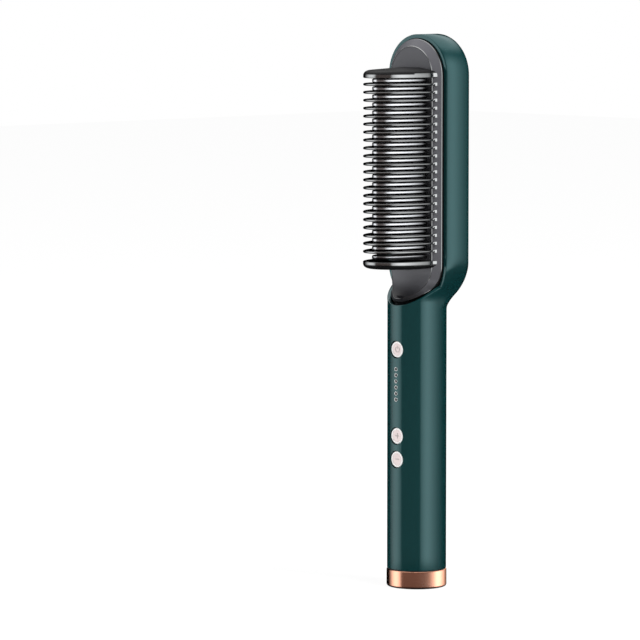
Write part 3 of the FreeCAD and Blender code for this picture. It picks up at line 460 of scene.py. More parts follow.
smoked_lens = moulded(
    "smoked_lens", (0.020, 0.026, 0.026, 1), (0.035, 0.042, 0.042, 1), 0.14, 0.3 * MM)
black_nylon = moulded(
    "black_nylon", (0.020, 0.020, 0.021, 1), (0.032, 0.032, 0.033, 1), 0.55)
epoxy_black = moulded(
    "epoxy_black", (0.016, 0.016, 0.017, 1), (0.028, 0.028, 0.028, 1), 0.42, 0.2 * MM)
lamp_white = moulded(
    "lamp_white", (0.70, 0.69, 0.64, 1), (0.80, 0.79, 0.74, 1), 0.38, 0.4 * MM)
green_laminate = moulded(
    "green_laminate", (0.020, 0.110, 0.045, 1), (0.030, 0.150, 0.065, 1), 0.34, 0.7 * MM)
amber_film = moulded(
    "amber_film", (0.52, 0.33, 0.12, 1), (0.62, 0.42, 0.18, 1), 0.33, 0.6 * MM)
white_ceramic = moulded(
    "white_ceramic", (0.66, 0.64, 0.59, 1), (0.77, 0.75, 0.70, 1), 0.62, 0.3 * MM)
zinc_steel = plated("zinc_steel", (0.46, 0.46, 0.48, 1), (0.60, 0.60, 0.62, 1), 0.28)
plain_brass = plated("plain_brass", (0.62, 0.43, 0.16, 1), (0.74, 0.54, 0.24, 1), 0.25)

# %% [markdown]
# ## Each solid takes its finish
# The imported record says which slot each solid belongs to. A table from slot to finish dresses all
# of them at once; their meshes stay as they are.

# %% Finishes by slot
finish_of_slot = {
    "shell_green": green_lacquer,
    "comb_black": satin_black,
    "heater_black": dark_glaze,
    "cap_rose_gold": rose_gold,
    "button_rose": pale_rose,
    "lens_dark": smoked_lens,
    "inner_black": black_nylon,
    "steel": zinc_steel,
    "brass": plain_brass,
    "board_green": green_laminate,
    "insulator": amber_film,
    "element": white_ceramic,
    "part_black": epoxy_black,
    "led_white": lamp_white,
}
slot_of_node = {row["node"]: row["material_slot"] for row in frame["record"]["subparts"]}
for name, solid in nodes.items():
    solid.data.materials.clear()
    solid.data.materials.append(finish_of_slot[slot_of_node[name]])
print("dressed", len(slot_of_node), "solids")


# %% [markdown]
# ## Helpers for modelling
# Every piece is made the way it would be made by hand: pick one object, go into edit mode, select
# some faces or edges, and use a tool on them. These short helpers do the picking and the last
# cleaning; the tools are Blender's own.

# %% Picking and cleaning
def pick(piece):
    """Make one object the only selected one."""
    bpy.ops.object.select_all(action="DESELECT")
    piece.select_set(True)
    bpy.context.view_layer.objects.active = piece


def work_on(piece):
    """Go into edit mode with all of one object selected."""
    pick(piece)
    bpy.ops.object.mode_set(mode="EDIT")
    bpy.ops.mesh.select_all(action="SELECT")


def choose(piece, test, kind="edges"):
    """In edit mode, select the edges, faces or verts of a piece that pass a test."""
    mode = {"edges": "EDGE", "faces": "FACE", "verts": "VERT"}[kind]
    bpy.ops.mesh.select_mode(type=mode)
    bpy.ops.mesh.select_all(action="DESELECT")
    cage = bmesh.from_edit_mesh(piece.data)
    cage.verts.index_update()
    for item in getattr(cage, kind):
        if test(item):
            item.select_set(True)
    bmesh.update_edit_mesh(piece.data)


def turn_faces_out():
    """In edit mode, turn every face outward."""
    bpy.ops.mesh.select_all(action="SELECT")
    bpy.ops.mesh.normals_make_consistent(inside=False)


def clean_and_leave(merge):
    """Merge points closer than this, turn the faces outward and leave edit mode."""
    bpy.ops.mesh.select_all(action="SELECT")
    bpy.ops.mesh.remove_doubles(threshold=merge)
    turn_faces_out()
    bpy.ops.object.mode_set(mode="OBJECT")


print("picking and cleaning ready")


# %% [markdown]
# Modifiers are only recipes until they are applied, and a place is only a number until it is
# applied too. A finished piece here has both in its mesh, as the solids of the frame do.

# %% Applying modifiers and places
def settle(piece):
    """Bake every modifier of a piece into its mesh."""
    pick(piece)
    for modifier in list(piece.modifiers):
        bpy.ops.object.modifier_apply(modifier=modifier.name)


def rounded(piece, width, segments, angle_degrees):
    """Round the edges of a piece that are sharper than an angle."""
    bevel = piece.modifiers.new("round", "BEVEL")
    bevel.limit_method = "ANGLE"
    bevel.angle_limit = math.radians(angle_degrees)
    bevel.width = width
    bevel.segments = segments
    settle(piece)


def raised(piece, level):
    """Lift a finished piece to its level."""
    pick(piece)
    piece.location.z = level
    bpy.ops.object.transform_apply(location=True, rotation=False, scale=False)


def copied(piece, names):
    """A piece and its copies, each with its own mesh and name."""
    row = [piece]
    for name in names:
        pick(piece)
        bpy.ops.object.duplicate(linked=False)
        row.append(bpy.context.object)
        row[-1].name = name
    return row


print("modifiers and places ready")


# %% [markdown]
# A piece also needs the same last steps every time: it gets its finish and smooth shading, and it
# is told which body of the frame it rides on. Forms that no primitive is near to start as a skin
# of points and faces.

# %% Dressing a piece, and a skin of points
def dressed(piece, material, body, angle_degrees=35):
    """Last steps: finish, smooth shading and the body it rides on."""
    piece.data.materials.clear()
    piece.data.materials.append(material)
    pick(piece)
    bpy.ops.object.shade_smooth_by_angle(angle=math.radians(angle_degrees))
    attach(piece, body)
    print(piece.name, len(piece.data.polygons), "faces")


def skin(name, points, faces):
    """A mesh object from points and faces, with its faces turned outward."""
    mesh = bpy.data.meshes.new(name)
    mesh.from_pydata(points, [], faces)
    piece = bpy.data.objects.new(name, mesh)
    scene.collection.objects.link(piece)
    work_on(piece)
    clean_and_leave(0.001 * MM)
    return piece


print("dressing and skins ready")

# %% [markdown]
# ## The shell's skin
# The real shell is one moulding: a round handle that swells through a neck into a flat-sided head,
# open at the front. A primitive can't give that swell, so the skin is a net of points laid over
# the form, from the sizes of the frame and a few stations up the neck.

# %% Sizes of the shell
shell_low, shell_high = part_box("body_shell")
handle_radius = -shell_low[1]
head_half = shell_high[0]
head_depth = shell_high[1]
handle_end = shell_low[2]
head_arc = shell_high[2] - head_half
neck_low = 141 * MM
neck_high = 165 * MM
back_corner = 5 * MM
# Stations up the neck: height, widening, deepening and corner tightening, each as a share
neck_shares = (
    (0.00, 0.00, 0.00, 0.00),
    (0.08, 0.00, 0.04, 0.04),
    (0.21, 0.01, 0.28, 0.30),
    (0.42, 0.23, 0.68, 0.82),
    (0.63, 0.71, 0.87, 0.90),
    (0.83, 0.96, 0.97, 0.95),
    (0.94, 1.00, 1.00, 0.99),
    (1.00, 1.00, 1.00, 1.00),
)
print("shell from", handle_end, "to", shell_high[2])


# %% [markdown]
# Between two stations the shares follow a smooth curve through both, so that the neck has no kinks
# for the gloss to show. At every level the section is a half circle in front and, behind, a flat
# back with two round corners.

# %% Sections of the neck
def eased(rise, column):
    """A share between the neck's stations, without kinks."""
    rises = [row[0] for row in neck_shares]
    values = [row[column] for row in neck_shares]
    last = len(rises) - 1
    inner_slopes = [(values[i + 1] - values[i - 1]) / (rises[i + 1] - rises[i - 1])
                    for i in range(1, last)]
    slopes = [0.0] + inner_slopes + [0.0]
    rise = min(max(rise, 0.0), 1.0)
    i = max(k for k in range(last) if rises[k] <= rise)
    step = rises[i + 1] - rises[i]
    t = (rise - rises[i]) / step
    bend = t * t * (3 - 2 * t)
    start = values[i] * (1 - bend) + step * slopes[i] * t * (1 - t) ** 2
    return min(start + values[i + 1] * bend - step * slopes[i + 1] * t * t * (1 - t), 1.0)


def section(level):
    """Half width, depth and back corner of the shell at a level."""
    rise = (level - neck_low) / (neck_high - neck_low)
    half = handle_radius + eased(rise, 1) * (head_half - handle_radius)
    depth = handle_radius + eased(rise, 2) * (head_depth - handle_radius)
    corner = handle_radius + eased(rise, 3) * (back_corner - handle_radius)
    return half, depth, corner


def back_point(level, share):
    """A point of the back half, by its share of the way from the right side round to the left."""
    half, depth, corner = section(level)
    side = depth - corner
    flat = half - corner
    quarter = corner * math.pi / 2
    way = min(share, 1 - share) * 2 * (side + quarter + flat)
    hand = 1 if share <= 0.5 else -1
    if way <= side:
        return Vector((hand * half, way, level))
    if way <= side + quarter:
        angle = (way - side) / corner
        across = flat + corner * math.cos(angle)
        return Vector((hand * across, side + corner * math.sin(angle), level))
    return Vector((hand * (flat - (way - side - quarter)), depth, level))


def front_point(level, share):
    """A point of the front half, by its share of the way from the left side round to the right."""
    angle = math.pi * share
    across = -section(level)[0] * math.cos(angle)
    return Vector((across, -handle_radius * math.sin(angle), level))


print("half width, depth and corner in mid neck:",
      [round(v / MM, 2) for v in section((neck_low + neck_high) / 2)])

# %% [markdown]
# The opening's lower edge is an arch. Each column of the net at the front has to stop exactly on
# it, and halving the gap again and again finds the level where the column meets the arch.

# %% Edge of the opening
opening_low = 143.9 * MM
opening_half = head_half + 0.4 * MM
search_low = opening_low - 1 * MM
search_high = 153.5 * MM
halvings = 40


def opening_level(share):
    """The level at which a front column meets the edge of the opening."""
    low, high = search_low, search_high
    for _ in range(halvings):
        middle = (low + high) / 2
        across = min(abs(front_point(middle, share).x) / opening_half, 1.0)
        edge = neck_high - (neck_high - opening_low) * math.sqrt(1 - across ** 2)
        low, high = (middle, high) if edge > middle else (low, middle)
    return low


side_level = opening_level(0)
print("the opening's edge rises from", round(opening_level(0.5), 4), "to", round(side_level, 4))

# %% [markdown]
# Now the net. Columns run up the handle; those at the front stop at the edge of the opening, so
# that this edge is a clean line of the net, and those at the back stop level with its ends.

# %% Rings of the handle
back_columns = 64
front_columns = 40
handle_rows = 12
edge_rows = 12
points = []
rings = []
for row in range(handle_rows + edge_rows + 1):
    ring = []
    straight = handle_end + (neck_low - handle_end) * min(row / handle_rows, 1)
    climb = max(0, row - handle_rows) / edge_rows
    for column in range(back_columns + front_columns):
        front = column > back_columns
        share = (column - back_columns) / front_columns if front else column / back_columns
        top = opening_level(share) if front else side_level
        level = straight + climb * (top - neck_low)
        ring.append(len(points))
        points.append(front_point(level, share) if front else back_point(level, share))
    rings.append(ring + ring[:1])
print(len(rings), "rings of", back_columns + front_columns, "points")

# %% [markdown]
# The columns at the back go on over the neck and the head. At the top each row of the right side
# swings over to the left, which makes the round top. Faces between neighbouring rows make the skin.

# %% Rows of the head
neck_rows = 12
head_rows = 8
dome_rows = 40


def spread(start, end, count):
    """Values from start up to, but without, end."""
    return [start + (end - start) * i / count for i in range(count)]


backs = [rings[-1][:back_columns + 1]]
head_levels = spread(side_level, neck_high, neck_rows)[1:]
head_levels += spread(neck_high, head_arc, head_rows) + [head_arc]
for level in head_levels:
    backs.append(list(range(len(points), len(points) + back_columns + 1)))
    points += [back_point(level, i / back_columns) for i in range(back_columns + 1)]
middle_column = back_columns // 2
domes = [backs[-1][:middle_column + 1]]
for row in range(1, dome_rows):
    swing = math.pi * row / dome_rows
    domes.append(list(range(len(points), len(points) + middle_column + 1)))
    for i in range(middle_column + 1):
        flat = back_point(head_arc, i / back_columns)
        height = head_arc + flat.x * math.sin(swing)
        points.append(Vector((flat.x * math.cos(swing), flat.y, height)))
domes.append(backs[-1][:middle_column - 1:-1])
faces = []
for rows in (rings, backs, domes):
    for low, high in zip(rows, rows[1:]):
        faces += [(low[i], low[i + 1], high[i + 1], high[i]) for i in range(len(low) - 1)]
shell = skin("shell_skin", points, faces)
print("net of", len(points), "points")

# %% [markdown]
# The net has no thickness yet. Solidify grows it inward by the wall of the moulding, and Bevel
# softens both edges of the rim, as a toolmaker would, where the light draws a fine bright line.

# %% Wall and soft rim
shell_wall = 2 * MM
rim_round = 0.4 * MM
wall = shell.modifiers.new("wall", "SOLIDIFY")
wall.thickness = shell_wall
wall.offset = -1
wall.use_even_offset = True
settle(shell)
rounded(shell, rim_round, segments=3, angle_degrees=50)
print("shell with its wall:", len(shell.data.polygons), "faces")

# %% [markdown]
# The holes for the buttons and the indicator windows are bored exactly where the frame has them: a
# round drill is set in front of the handle, and a Boolean takes it away from the wall.

# %% Bores
button_names = ("power_button", "temp_up_button", "temp_down_button")
button_radius = 4.15 * MM
button_gap = 0.32 * MM
button_sides = 64
window_radius = 1.0 * MM
window_sides = 24
window_count = 6
lamp_half = 0.4 * MM
lamps_low, lamps_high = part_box("indicator_leds")
first_window = lamps_low[2] + lamp_half
window_span = lamps_high[2] - lamps_low[2] - 2 * lamp_half
window_levels = [first_window + i * window_span / (window_count - 1) for i in range(window_count)]
bores = []
for name in button_names:
    low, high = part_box(name)
    bores.append(((low[2] + high[2]) / 2, button_radius + button_gap, button_sides))
bores += [(level, window_radius, window_sides) for level in window_levels]
for level, radius, sides in bores:
    bpy.ops.object.select_all(action="DESELECT")
    bpy.ops.mesh.primitive_cylinder_add(
        vertices=sides, radius=radius, depth=handle_radius,
        location=(0, -handle_radius, level), rotation=(math.pi / 2, 0, 0))
    drill = bpy.context.object
    bore = shell.modifiers.new("bore", "BOOLEAN")
    bore.object = drill
    bore.operation = "DIFFERENCE"
    bore.solver = "EXACT"
    settle(shell)
    bpy.data.objects.remove(drill)
dressed(shell, green_lacquer, "handle")
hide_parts("body_shell")

# %% [markdown]
# ## The comb's panel
# The panel in the head's opening is a dark moulding with three zones: a collar that follows the
# edge of the shell, a sloping shoulder, and a raised plateau that carries the fins and ends below
# in a scoop for the thumb. Each zone ends in a closed line round the panel. First come the sizes,
# and for each zone how far it stands out in front.

# %% Zones of the panel
panel_half = head_half - 0.7 * MM
panel_low = opening_low + 0.7 * MM
collar_top = panel_low + 7.5 * MM
collar_front = handle_radius - 0.8 * MM
ring_front = 1.0 * MM
plateau_half = 14.65 * MM
plateau_front = 4.3 * MM
plateau_low = panel_low + 2.6 * MM
plateau_step = 0.4 * MM
scoop_top = 161 * MM
scoop_radius = 14.5 * MM
scoop_chamfer = 0.9 * MM
chamfer_top = 159 * MM
chamfer_fade = 9 * MM
groove_depth = 1.6 * MM


def round_limit(across, radius):
    """How far in front a round bar of this radius reaches at a distance from its middle."""
    return math.sqrt(max(radius ** 2 - across ** 2, 0.0))


def collar_at(across, level):
    """The collar's front: low along the head, rising with the handle below."""
    climb = (collar_top - level) / (collar_top - panel_low)
    slope = ring_front + max(climb, 0.0) * (collar_front - ring_front)
    return max(ring_front, min(slope, round_limit(across, collar_front)))


def groove_at(across, level):
    """The floor of the shadow groove between the panel and the shell."""
    return collar_at(across, level) - groove_depth


def plateau_at(across, level):
    """The plateau's front: flat behind the fins, curving forward in the scoop."""
    drop = min(max(scoop_top - level, 0.0), scoop_radius)
    bow = plateau_front + scoop_radius - math.sqrt(scoop_radius ** 2 - drop ** 2)
    return max(plateau_front, min(bow, round_limit(across, collar_front) - plateau_step))


def chamfer_at(across, level):
    """The shoulder's outer edge: on the ring along the head, under the plateau in the scoop."""
    share = min(max((chamfer_top - level) / chamfer_fade, 0.0), 1.0)
    share = share * share * (3 - 2 * share)
    base = collar_at(across, level)
    return base + share * max(plateau_at(across, level) - scoop_chamfer - base, 0.0)


print("plateau stands", round(plateau_at(0, neck_high) / MM, 2), "mm in front at the fins")

# %% [markdown]
# The panel is drawn as a few closed lines, one inside the other: an arch below, two straight sides
# and a round top. Where two zones meet at an edge, four lines close together take the place of one,
# and round it.

# %% Drawing a line of the panel
arch_steps = 28
side_steps = 24
dome_steps = 20
edge_limit = 0.4


def up_the_right(half, low):
    """Right half of a panel line, from the middle of its low end to the middle of its top."""
    arch = [math.pi / 2 * i / arch_steps for i in range(arch_steps)]
    side = [(half * math.sin(a), neck_high - (neck_high - low) * math.cos(a)) for a in arch]
    side += [(half, level) for level in spread(neck_high, head_arc, side_steps)]
    dome = [math.pi / 2 * i / dome_steps for i in range(dome_steps + 1)]
    return side + [(half * math.cos(a), head_arc + half * math.sin(a)) for a in dome]


def panel_line(half, low, front, lift=0.0):
    """A closed line round the panel, up the right side and down the left, lifted off its zone."""
    right = [Vector((x, -(front(x, z) + lift), z)) for x, z in up_the_right(half, low)]
    left = [Vector((-p.x, p.y, p.z)) for p in right[-2:0:-1]]
    return right + left


def softened(before, corner, after, reach):
    """Four lines in place of a corner line, so that the edge along it is round."""
    rows = [[], [], [], []]
    for a, b, c in zip(before, corner, after):
        start = b + (a - b) * min(reach / (a - b).length, edge_limit)
        end = b + (c - b) * min(reach / (c - b).length, edge_limit)
        for row, t in zip(rows, (0.0, 0.33, 0.67, 1.0)):
            row.append(start * (1 - t) ** 2 + b * 2 * t * (1 - t) + end * t ** 2)
    return rows


print("one line has", len(panel_line(panel_half, panel_low, collar_at)), "points")

# %% [markdown]
# A narrow groove keeps the panel apart from the shell: its floor lies between two lines, and a
# skirt goes down behind it. From there the shoulder climbs to the plateau, which a fine ridge
# runs round.

# %% Lines of the panel
groove_half = panel_half - 1.45 * MM
groove_low = panel_low + 0.9 * MM
groove_lean = 0.1 * MM
skirt = 2 * MM
ridge = 0.28 * MM
edge_reaches = [reach * MM for reach in (0.05, 0.05, 0.22, 0.1, 0.14, 0.12)]
corners = [
    panel_line(panel_half, panel_low, groove_at, -skirt),
    panel_line(panel_half, panel_low, groove_at),
    panel_line(groove_half, groove_low, groove_at),
    panel_line(groove_half - groove_lean, groove_low + groove_lean, chamfer_at),
    panel_line(plateau_half + 0.25 * MM, plateau_low - 0.2 * MM, plateau_at, -0.15 * MM),
    panel_line(plateau_half, plateau_low, plateau_at, ridge),
    panel_line(plateau_half - 0.4 * MM, plateau_low + 0.35 * MM, plateau_at),
    panel_line(plateau_half - 1.4 * MM, plateau_low + 1.2 * MM, plateau_at),
]
lines = [corners[0]]
for before, corner, after, reach in zip(corners, corners[1:], corners[2:], edge_reaches):
    lines += softened(before, corner, after, reach)
lines.append(corners[-1])
line_length = len(lines[0])
print(len(lines), "lines of", line_length, "points")

# %% [markdown]
# Faces are laid between neighbouring lines, and rungs across the innermost one close the plateau.
# Solidify gives the wall. The finishes go on by rows of faces: the groove takes the near-black as
# painted shade, the edge of the shoulder and the ridge round the plateau are polished, and the rest
# keeps the satin grain.

# %% Panel
panel_wall = 1.8 * MM
groove_rows = range(0, 9)
shoulder_rows = range(9, 12)
ridge_rows = range(16, 20)
points = [point for line in lines for point in line]
faces = []
for row in range(len(lines) - 1):
    for i in range(line_length):
        j = (i + 1) % line_length
        faces.append((row * line_length + i, row * line_length + j,
                      (row + 1) * line_length + j, (row + 1) * line_length + i))
inner = (len(lines) - 1) * line_length
for i in range(line_length // 2):
    a, b = inner + i, inner + i + 1
    c, d = inner + (line_length - i - 1), inner + (line_length - i) % line_length
    faces.append(tuple(dict.fromkeys((a, b, c, d))))
panel = skin("comb_panel", points, faces)
wall = panel.modifiers.new("wall", "SOLIDIFY")
wall.thickness = panel_wall
wall.offset = -1
settle(panel)
dressed(panel, satin_black, "handle", angle_degrees=42)
for extra in (dull_and_shade_black, gloss_black):
    panel.data.materials.append(extra)
# The groove's near-black is painted shade.
for finish_number, rows in ((1, groove_rows), (2, shoulder_rows), (2, ridge_rows)):
    for row in rows:
        for i in range(line_length):
            panel.data.polygons[row * line_length + i].material_index = finish_number
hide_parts("guard_comb")

# %% [markdown]
# ## Guard fins
# Twenty-two thin fins keep the hot ones off the skin. Seen from above a fin is half an oval,
# slightly full at the shoulders, with a small waist and flare at its foot. It starts as a filled
# circle that is filled out, stretched to size and cut in half with bisect; then the points near
# the foot are drawn in for the waist and out for the flare, row by row.

# %% Outline of a fin
fin_root = 1.3 * MM
fin_crest = -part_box("guard_comb")[0][1]
fin_foot_half = 16.3 * MM
fin_fullness = 2.3
outline_points = 192
half_tilt = 0.5
# How far from the foot each row of the waist and flare reaches, and its widening
flare_rows = (
    (5.5 * MM, 0.992),
    (4.4 * MM, 0.985),
    (3.4 * MM, 0.99),
    (2.6 * MM, 1.028),
    (1.4 * MM, 1.032),
)


def half_oval(name):
    """A flat half-oval on level zero, left in edit mode."""
    bpy.ops.object.select_all(action="DESELECT")
    bpy.ops.mesh.primitive_circle_add(
        vertices=outline_points, radius=1, fill_type="NGON", location=(0, -fin_root, 0))
    piece = bpy.context.object
    piece.name = name
    for point in piece.data.vertices:
        fullness = abs(point.co.x) ** fin_fullness + abs(point.co.y) ** fin_fullness
        point.co *= fullness ** (-1 / fin_fullness)
    piece.scale = (fin_foot_half, fin_crest - fin_root, 1)
    bpy.ops.object.transform_apply(location=True, rotation=False, scale=True)
    work_on(piece)
    bpy.ops.mesh.bisect(plane_co=(0, -fin_root, 0), plane_no=(0, 1, 0), clear_outer=True)
    for reach, widening in flare_rows:
        choose(piece, lambda point: point.co.y > -fin_root - reach, "verts")
        bpy.ops.transform.resize(value=(widening, 1, 1), center_override=(0, 0, 0))
    return piece


def rim_lines(line):
    """True for the lines between the side of a fin and its top or bottom."""
    tilts = [abs(face.normal.z) for face in line.link_faces]
    return min(tilts) < half_tilt < max(tilts)


print("fin", round((fin_crest - fin_root) / MM, 2), "mm long,", len(flare_rows), "rows at its foot")

# %% [markdown]
# The free edge of a fin is thinner than its middle, like a leaf. So the outline is extruded to its
# thickness, both sides are inset, and the rim is pinched together and rounded. The flare at the
# foot is left square: there it catches the light as a bright dot beside the panel.

# %% One guard fin
fin_thickness = 1.5 * MM
leaf_width = 3.0 * MM
leaf_edge = 0.3 * MM
rim_pinch = 0.2 * MM
fin_rounding = 0.52 * MM
fin_round_steps = 6
flare_front = 4.3 * MM


def free_rim(line):
    """True for the rim lines in front of the flare."""
    return rim_lines(line) and max(point.co.y for point in line.verts) < -flare_front


def rim_of_side(line, side):
    """True for the free rim of the top, side 1, or the bottom, side -1."""
    return free_rim(line) and max(face.normal.z * side for face in line.link_faces) > half_tilt


def wide_face(face):
    """True for the one large face of the top or the bottom."""
    return abs(face.normal.z) > half_tilt and len(face.verts) > 4


def guard_fin(name):
    """A fin of even thickness, rising from level zero, with a thin rounded rim."""
    piece = half_oval(name)
    bpy.ops.mesh.select_all(action="SELECT")
    bpy.ops.mesh.extrude_region_move(TRANSFORM_OT_translate={"value": (0, 0, fin_thickness)})
    turn_faces_out()
    for width in (leaf_width, leaf_edge):
        choose(piece, wide_face, "faces")
        bpy.ops.mesh.inset(thickness=width, depth=0)
    for side in (-1, 1):
        choose(piece, lambda line: rim_of_side(line, side))
        bpy.ops.transform.translate(value=(0, 0, -side * rim_pinch))
    choose(piece, free_rim)
    bpy.ops.mesh.bevel(offset=fin_rounding, segments=fin_round_steps, affect="EDGES")
    bpy.ops.object.mode_set(mode="OBJECT")
    return piece


fin = guard_fin("guard_fin_01")
print("one fin:", len(fin.data.polygons), "faces")

# %% [markdown]
# The row is made of copies of the first fin. Every copy has its own mesh, so that its place can be
# applied and each fin's object stays at the origin.

# %% The row of fins
fin_count = 22
fin_angle = 22
fins = copied(fin, ["guard_fin_%02d" % number for number in range(2, fin_count + 1)])
for number, piece in enumerate(fins):
    raised(piece, first_fin + number * fin_pitch - fin_thickness / 2)
    dressed(piece, gloss_black, "handle", fin_angle)
print(len(fins), "guard fins")

# %% [markdown]
# A thicker fin closes each end of the row. Its outside is rounded over in steps that are extruded
# and drawn in, following a quarter circle, and swells towards the foot. The outside faces were not
# polished, so they take the dull black.

# %% End fins
end_gap = 1.5 * MM
end_rim = 1.3 * MM
end_rounding = 0.5 * MM
end_round_steps = 4
end_height = 2.6 * MM
end_draw = 0.13
quarter_steps = 7
foot_swells = [(0.5 * MM, 0.7), (0.5 * MM, 0.6)]
level_zero = 0.01 * MM
dull_tilt = 0.3


def end_fin(name, outside, swells):
    """A thick fin, flat on level zero, whose outside rises or falls in steps towards its foot."""
    piece = half_oval(name)
    bpy.ops.mesh.select_all(action="SELECT")
    bpy.ops.mesh.extrude_region_move(TRANSFORM_OT_translate={"value": (0, 0, outside * end_rim)})
    for rise, share in swells:
        bpy.ops.mesh.extrude_region_move(TRANSFORM_OT_translate={"value": (0, 0, outside * rise)})
        bpy.ops.transform.resize(value=(share, share, 1), center_override=(0, -fin_root, 0))
    turn_faces_out()
    choose(piece, lambda line: rim_lines(line) and abs(line.verts[0].co.z) < level_zero)
    bpy.ops.mesh.bevel(offset=end_rounding, segments=end_round_steps, affect="EDGES")
    bpy.ops.object.mode_set(mode="OBJECT")
    return piece


last_fin = first_fin + (fin_count - 1) * fin_pitch
low_end_fin = first_fin - fin_pitch + fin_thickness / 2 - end_gap
top_end_fin = last_fin + fin_pitch - fin_thickness / 2
quarter = [math.pi / 2 * step / quarter_steps for step in range(quarter_steps + 1)]
widths = [1 - end_draw + end_draw * math.cos(angle) for angle in quarter]
levels = [end_height * math.sin(angle) for angle in quarter]
swells = [(levels[i] - levels[i - 1], widths[i] / widths[i - 1])
          for i in range(1, quarter_steps + 1)]
for name, level, outside in (("end_fin_low", low_end_fin, -1), ("end_fin_top", top_end_fin, 1)):
    piece = end_fin(name, outside, swells + foot_swells)
    raised(piece, level)
    dressed(piece, gloss_black, "handle", fin_angle)
    piece.data.materials.append(dull_and_shade_black)
    for face in piece.data.polygons:
        face.material_index = int(outside * face.normal.z > dull_tilt)


# %% [markdown]
# ## Turned pieces
# The end cap, the buttons and the window rings are round, so they are drawn as on a lathe: a circle
# is carried along the profile, each step an extrusion that is then resized. The profile lists
# radius and height. What is turned stands upright, so a piece of the handle's front is then tipped
# forward and moved to its place.

# %% Turning
def turned(name, profile, segments):
    """A piece turned round Z from (radius, height) steps."""
    radius, level = profile[0]
    bpy.ops.object.select_all(action="DESELECT")
    bpy.ops.mesh.primitive_circle_add(vertices=segments, radius=radius, location=(0, 0, level))
    piece = bpy.context.object
    piece.name = name
    bpy.ops.object.transform_apply(location=True, rotation=False, scale=False)
    work_on(piece)
    for next_radius, next_level in profile[1:]:
        rise = (0, 0, next_level - level)
        bpy.ops.mesh.extrude_edges_move(TRANSFORM_OT_translate={"value": rise})
        grow = next_radius / radius
        bpy.ops.transform.resize(value=(grow, grow, 1), center_override=(0, 0, next_level))
        radius, level = next_radius, next_level
    clean_and_leave(0.002 * MM)
    return piece


def arc(center_radius, center_level, size, start_degrees, end_degrees, steps):
    """Profile steps round an arc; zero degrees points outward."""
    sweep = end_degrees - start_degrees
    angles = [math.radians(start_degrees + sweep * i / steps) for i in range(steps + 1)]
    return [(center_radius + size * math.cos(a), center_level + size * math.sin(a)) for a in angles]


def tipped_forward(piece, place):
    """Tip an upright piece, so that its top faces forward, and move it to its place."""
    work_on(piece)
    bpy.ops.transform.rotate(value=-math.pi / 2, orient_axis="X", center_override=(0, 0, 0))
    bpy.ops.transform.translate(value=place)
    bpy.ops.object.mode_set(mode="OBJECT")


print("lathe ready")

# %% [markdown]
# The end cap is a spun metal cup: flat foot, a small foot edge, a straight wall, and a bright
# rounded edge where the wall meets the dark reveal under the shell. The plating stops there: the
# reveal is coloured black as painted shade in the gap under the shell, and the spigot, which goes
# up into the handle, is black too.

# %% End cap
cap_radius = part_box("end_cap")[1][0]
cap_top = 9.0 * MM
cap_edge = 0.6 * MM
cap_segments = 128
foot_round = 1.2 * MM
bush_hole = 6.06 * MM
floor_top = 2.2 * MM
reveal_radius = handle_radius - 0.6 * MM
spigot_radius = handle_radius - shell_wall - 0.15 * MM
spigot_inside = spigot_radius - 1.3 * MM
spigot_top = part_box("end_cap")[1][2]
reveal_shade_low = cap_top - 0.05 * MM
profile = [(bush_hole, 0.0)]
profile += arc(cap_radius - foot_round, foot_round, foot_round, -90, 0, 8)
profile += arc(cap_radius - cap_edge, cap_top - cap_edge, cap_edge, 0, 90, 6)
profile += [
    (reveal_radius, cap_top), (reveal_radius, handle_end),
    (spigot_radius, handle_end), (spigot_radius, spigot_top),
    (spigot_inside, spigot_top), (spigot_inside, floor_top),
    (bush_hole, floor_top), (bush_hole, 0.0),
]
cap = turned("cap_skin", profile, cap_segments)
dressed(cap, rose_gold, "handle", angle_degrees=30)
cap.data.materials.append(black_nylon)
for face in cap.data.polygons:
    across = Vector(face.center[:2]).length
    # Painted shade: the reveal's faces take the black.
    face.material_index = int(face.center[2] > reveal_shade_low and across < handle_radius)
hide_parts("end_cap")

# %% [markdown]
# ## Signs of the buttons
# The sign on a button is raised a little: an open ring with a stroke for power, a plus and a minus
# for the heat. A stroke is a cube with rounded edges, and the ring is one square section that is
# spun round the middle.

# %% Signs
sign_height = 0.12 * MM
thin_stroke = 0.34 * MM
thick_stroke = 0.4 * MM
long_stroke = 2.8 * MM
power_ring = 1.35 * MM
power_stroke = 1.3 * MM
power_shift = 1.1 * MM
power_gap = 70
ring_steps = 24


def sign_bar(length, width, turn_degrees, shift=0.0):
    """A rounded stroke of a sign, lying on level zero."""
    bpy.ops.object.select_all(action="DESELECT")
    bpy.ops.mesh.primitive_cube_add(
        size=1, location=(0, shift, 0), rotation=(0, 0, math.radians(turn_degrees)))
    piece = bpy.context.object
    piece.scale = (width, length, 2 * sign_height)
    bpy.ops.object.transform_apply(location=True, rotation=True, scale=True)
    rounded(piece, width * 0.3, segments=3, angle_degrees=40)
    return piece


def sign_ring(radius, width, gap_degrees):
    """An open ring, spun round the middle from one square section."""
    half_gap = math.radians(gap_degrees / 2)
    bpy.ops.object.select_all(action="DESELECT")
    bpy.ops.mesh.primitive_plane_add(
        size=width, location=(0, radius, 0), rotation=(0, math.pi / 2, 0))
    piece = bpy.context.object
    bpy.ops.object.transform_apply(location=True, rotation=True, scale=False)
    work_on(piece)
    bpy.ops.transform.rotate(value=half_gap, orient_axis="Z", center_override=(0, 0, 0))
    bpy.ops.mesh.spin(
        steps=ring_steps, angle=2 * math.pi - 2 * half_gap, center=(0, 0, 0), axis=(0, 0, 1))
    clean_and_leave(0.002 * MM)
    rounded(piece, width * 0.2, segments=2, angle_degrees=40)
    return piece


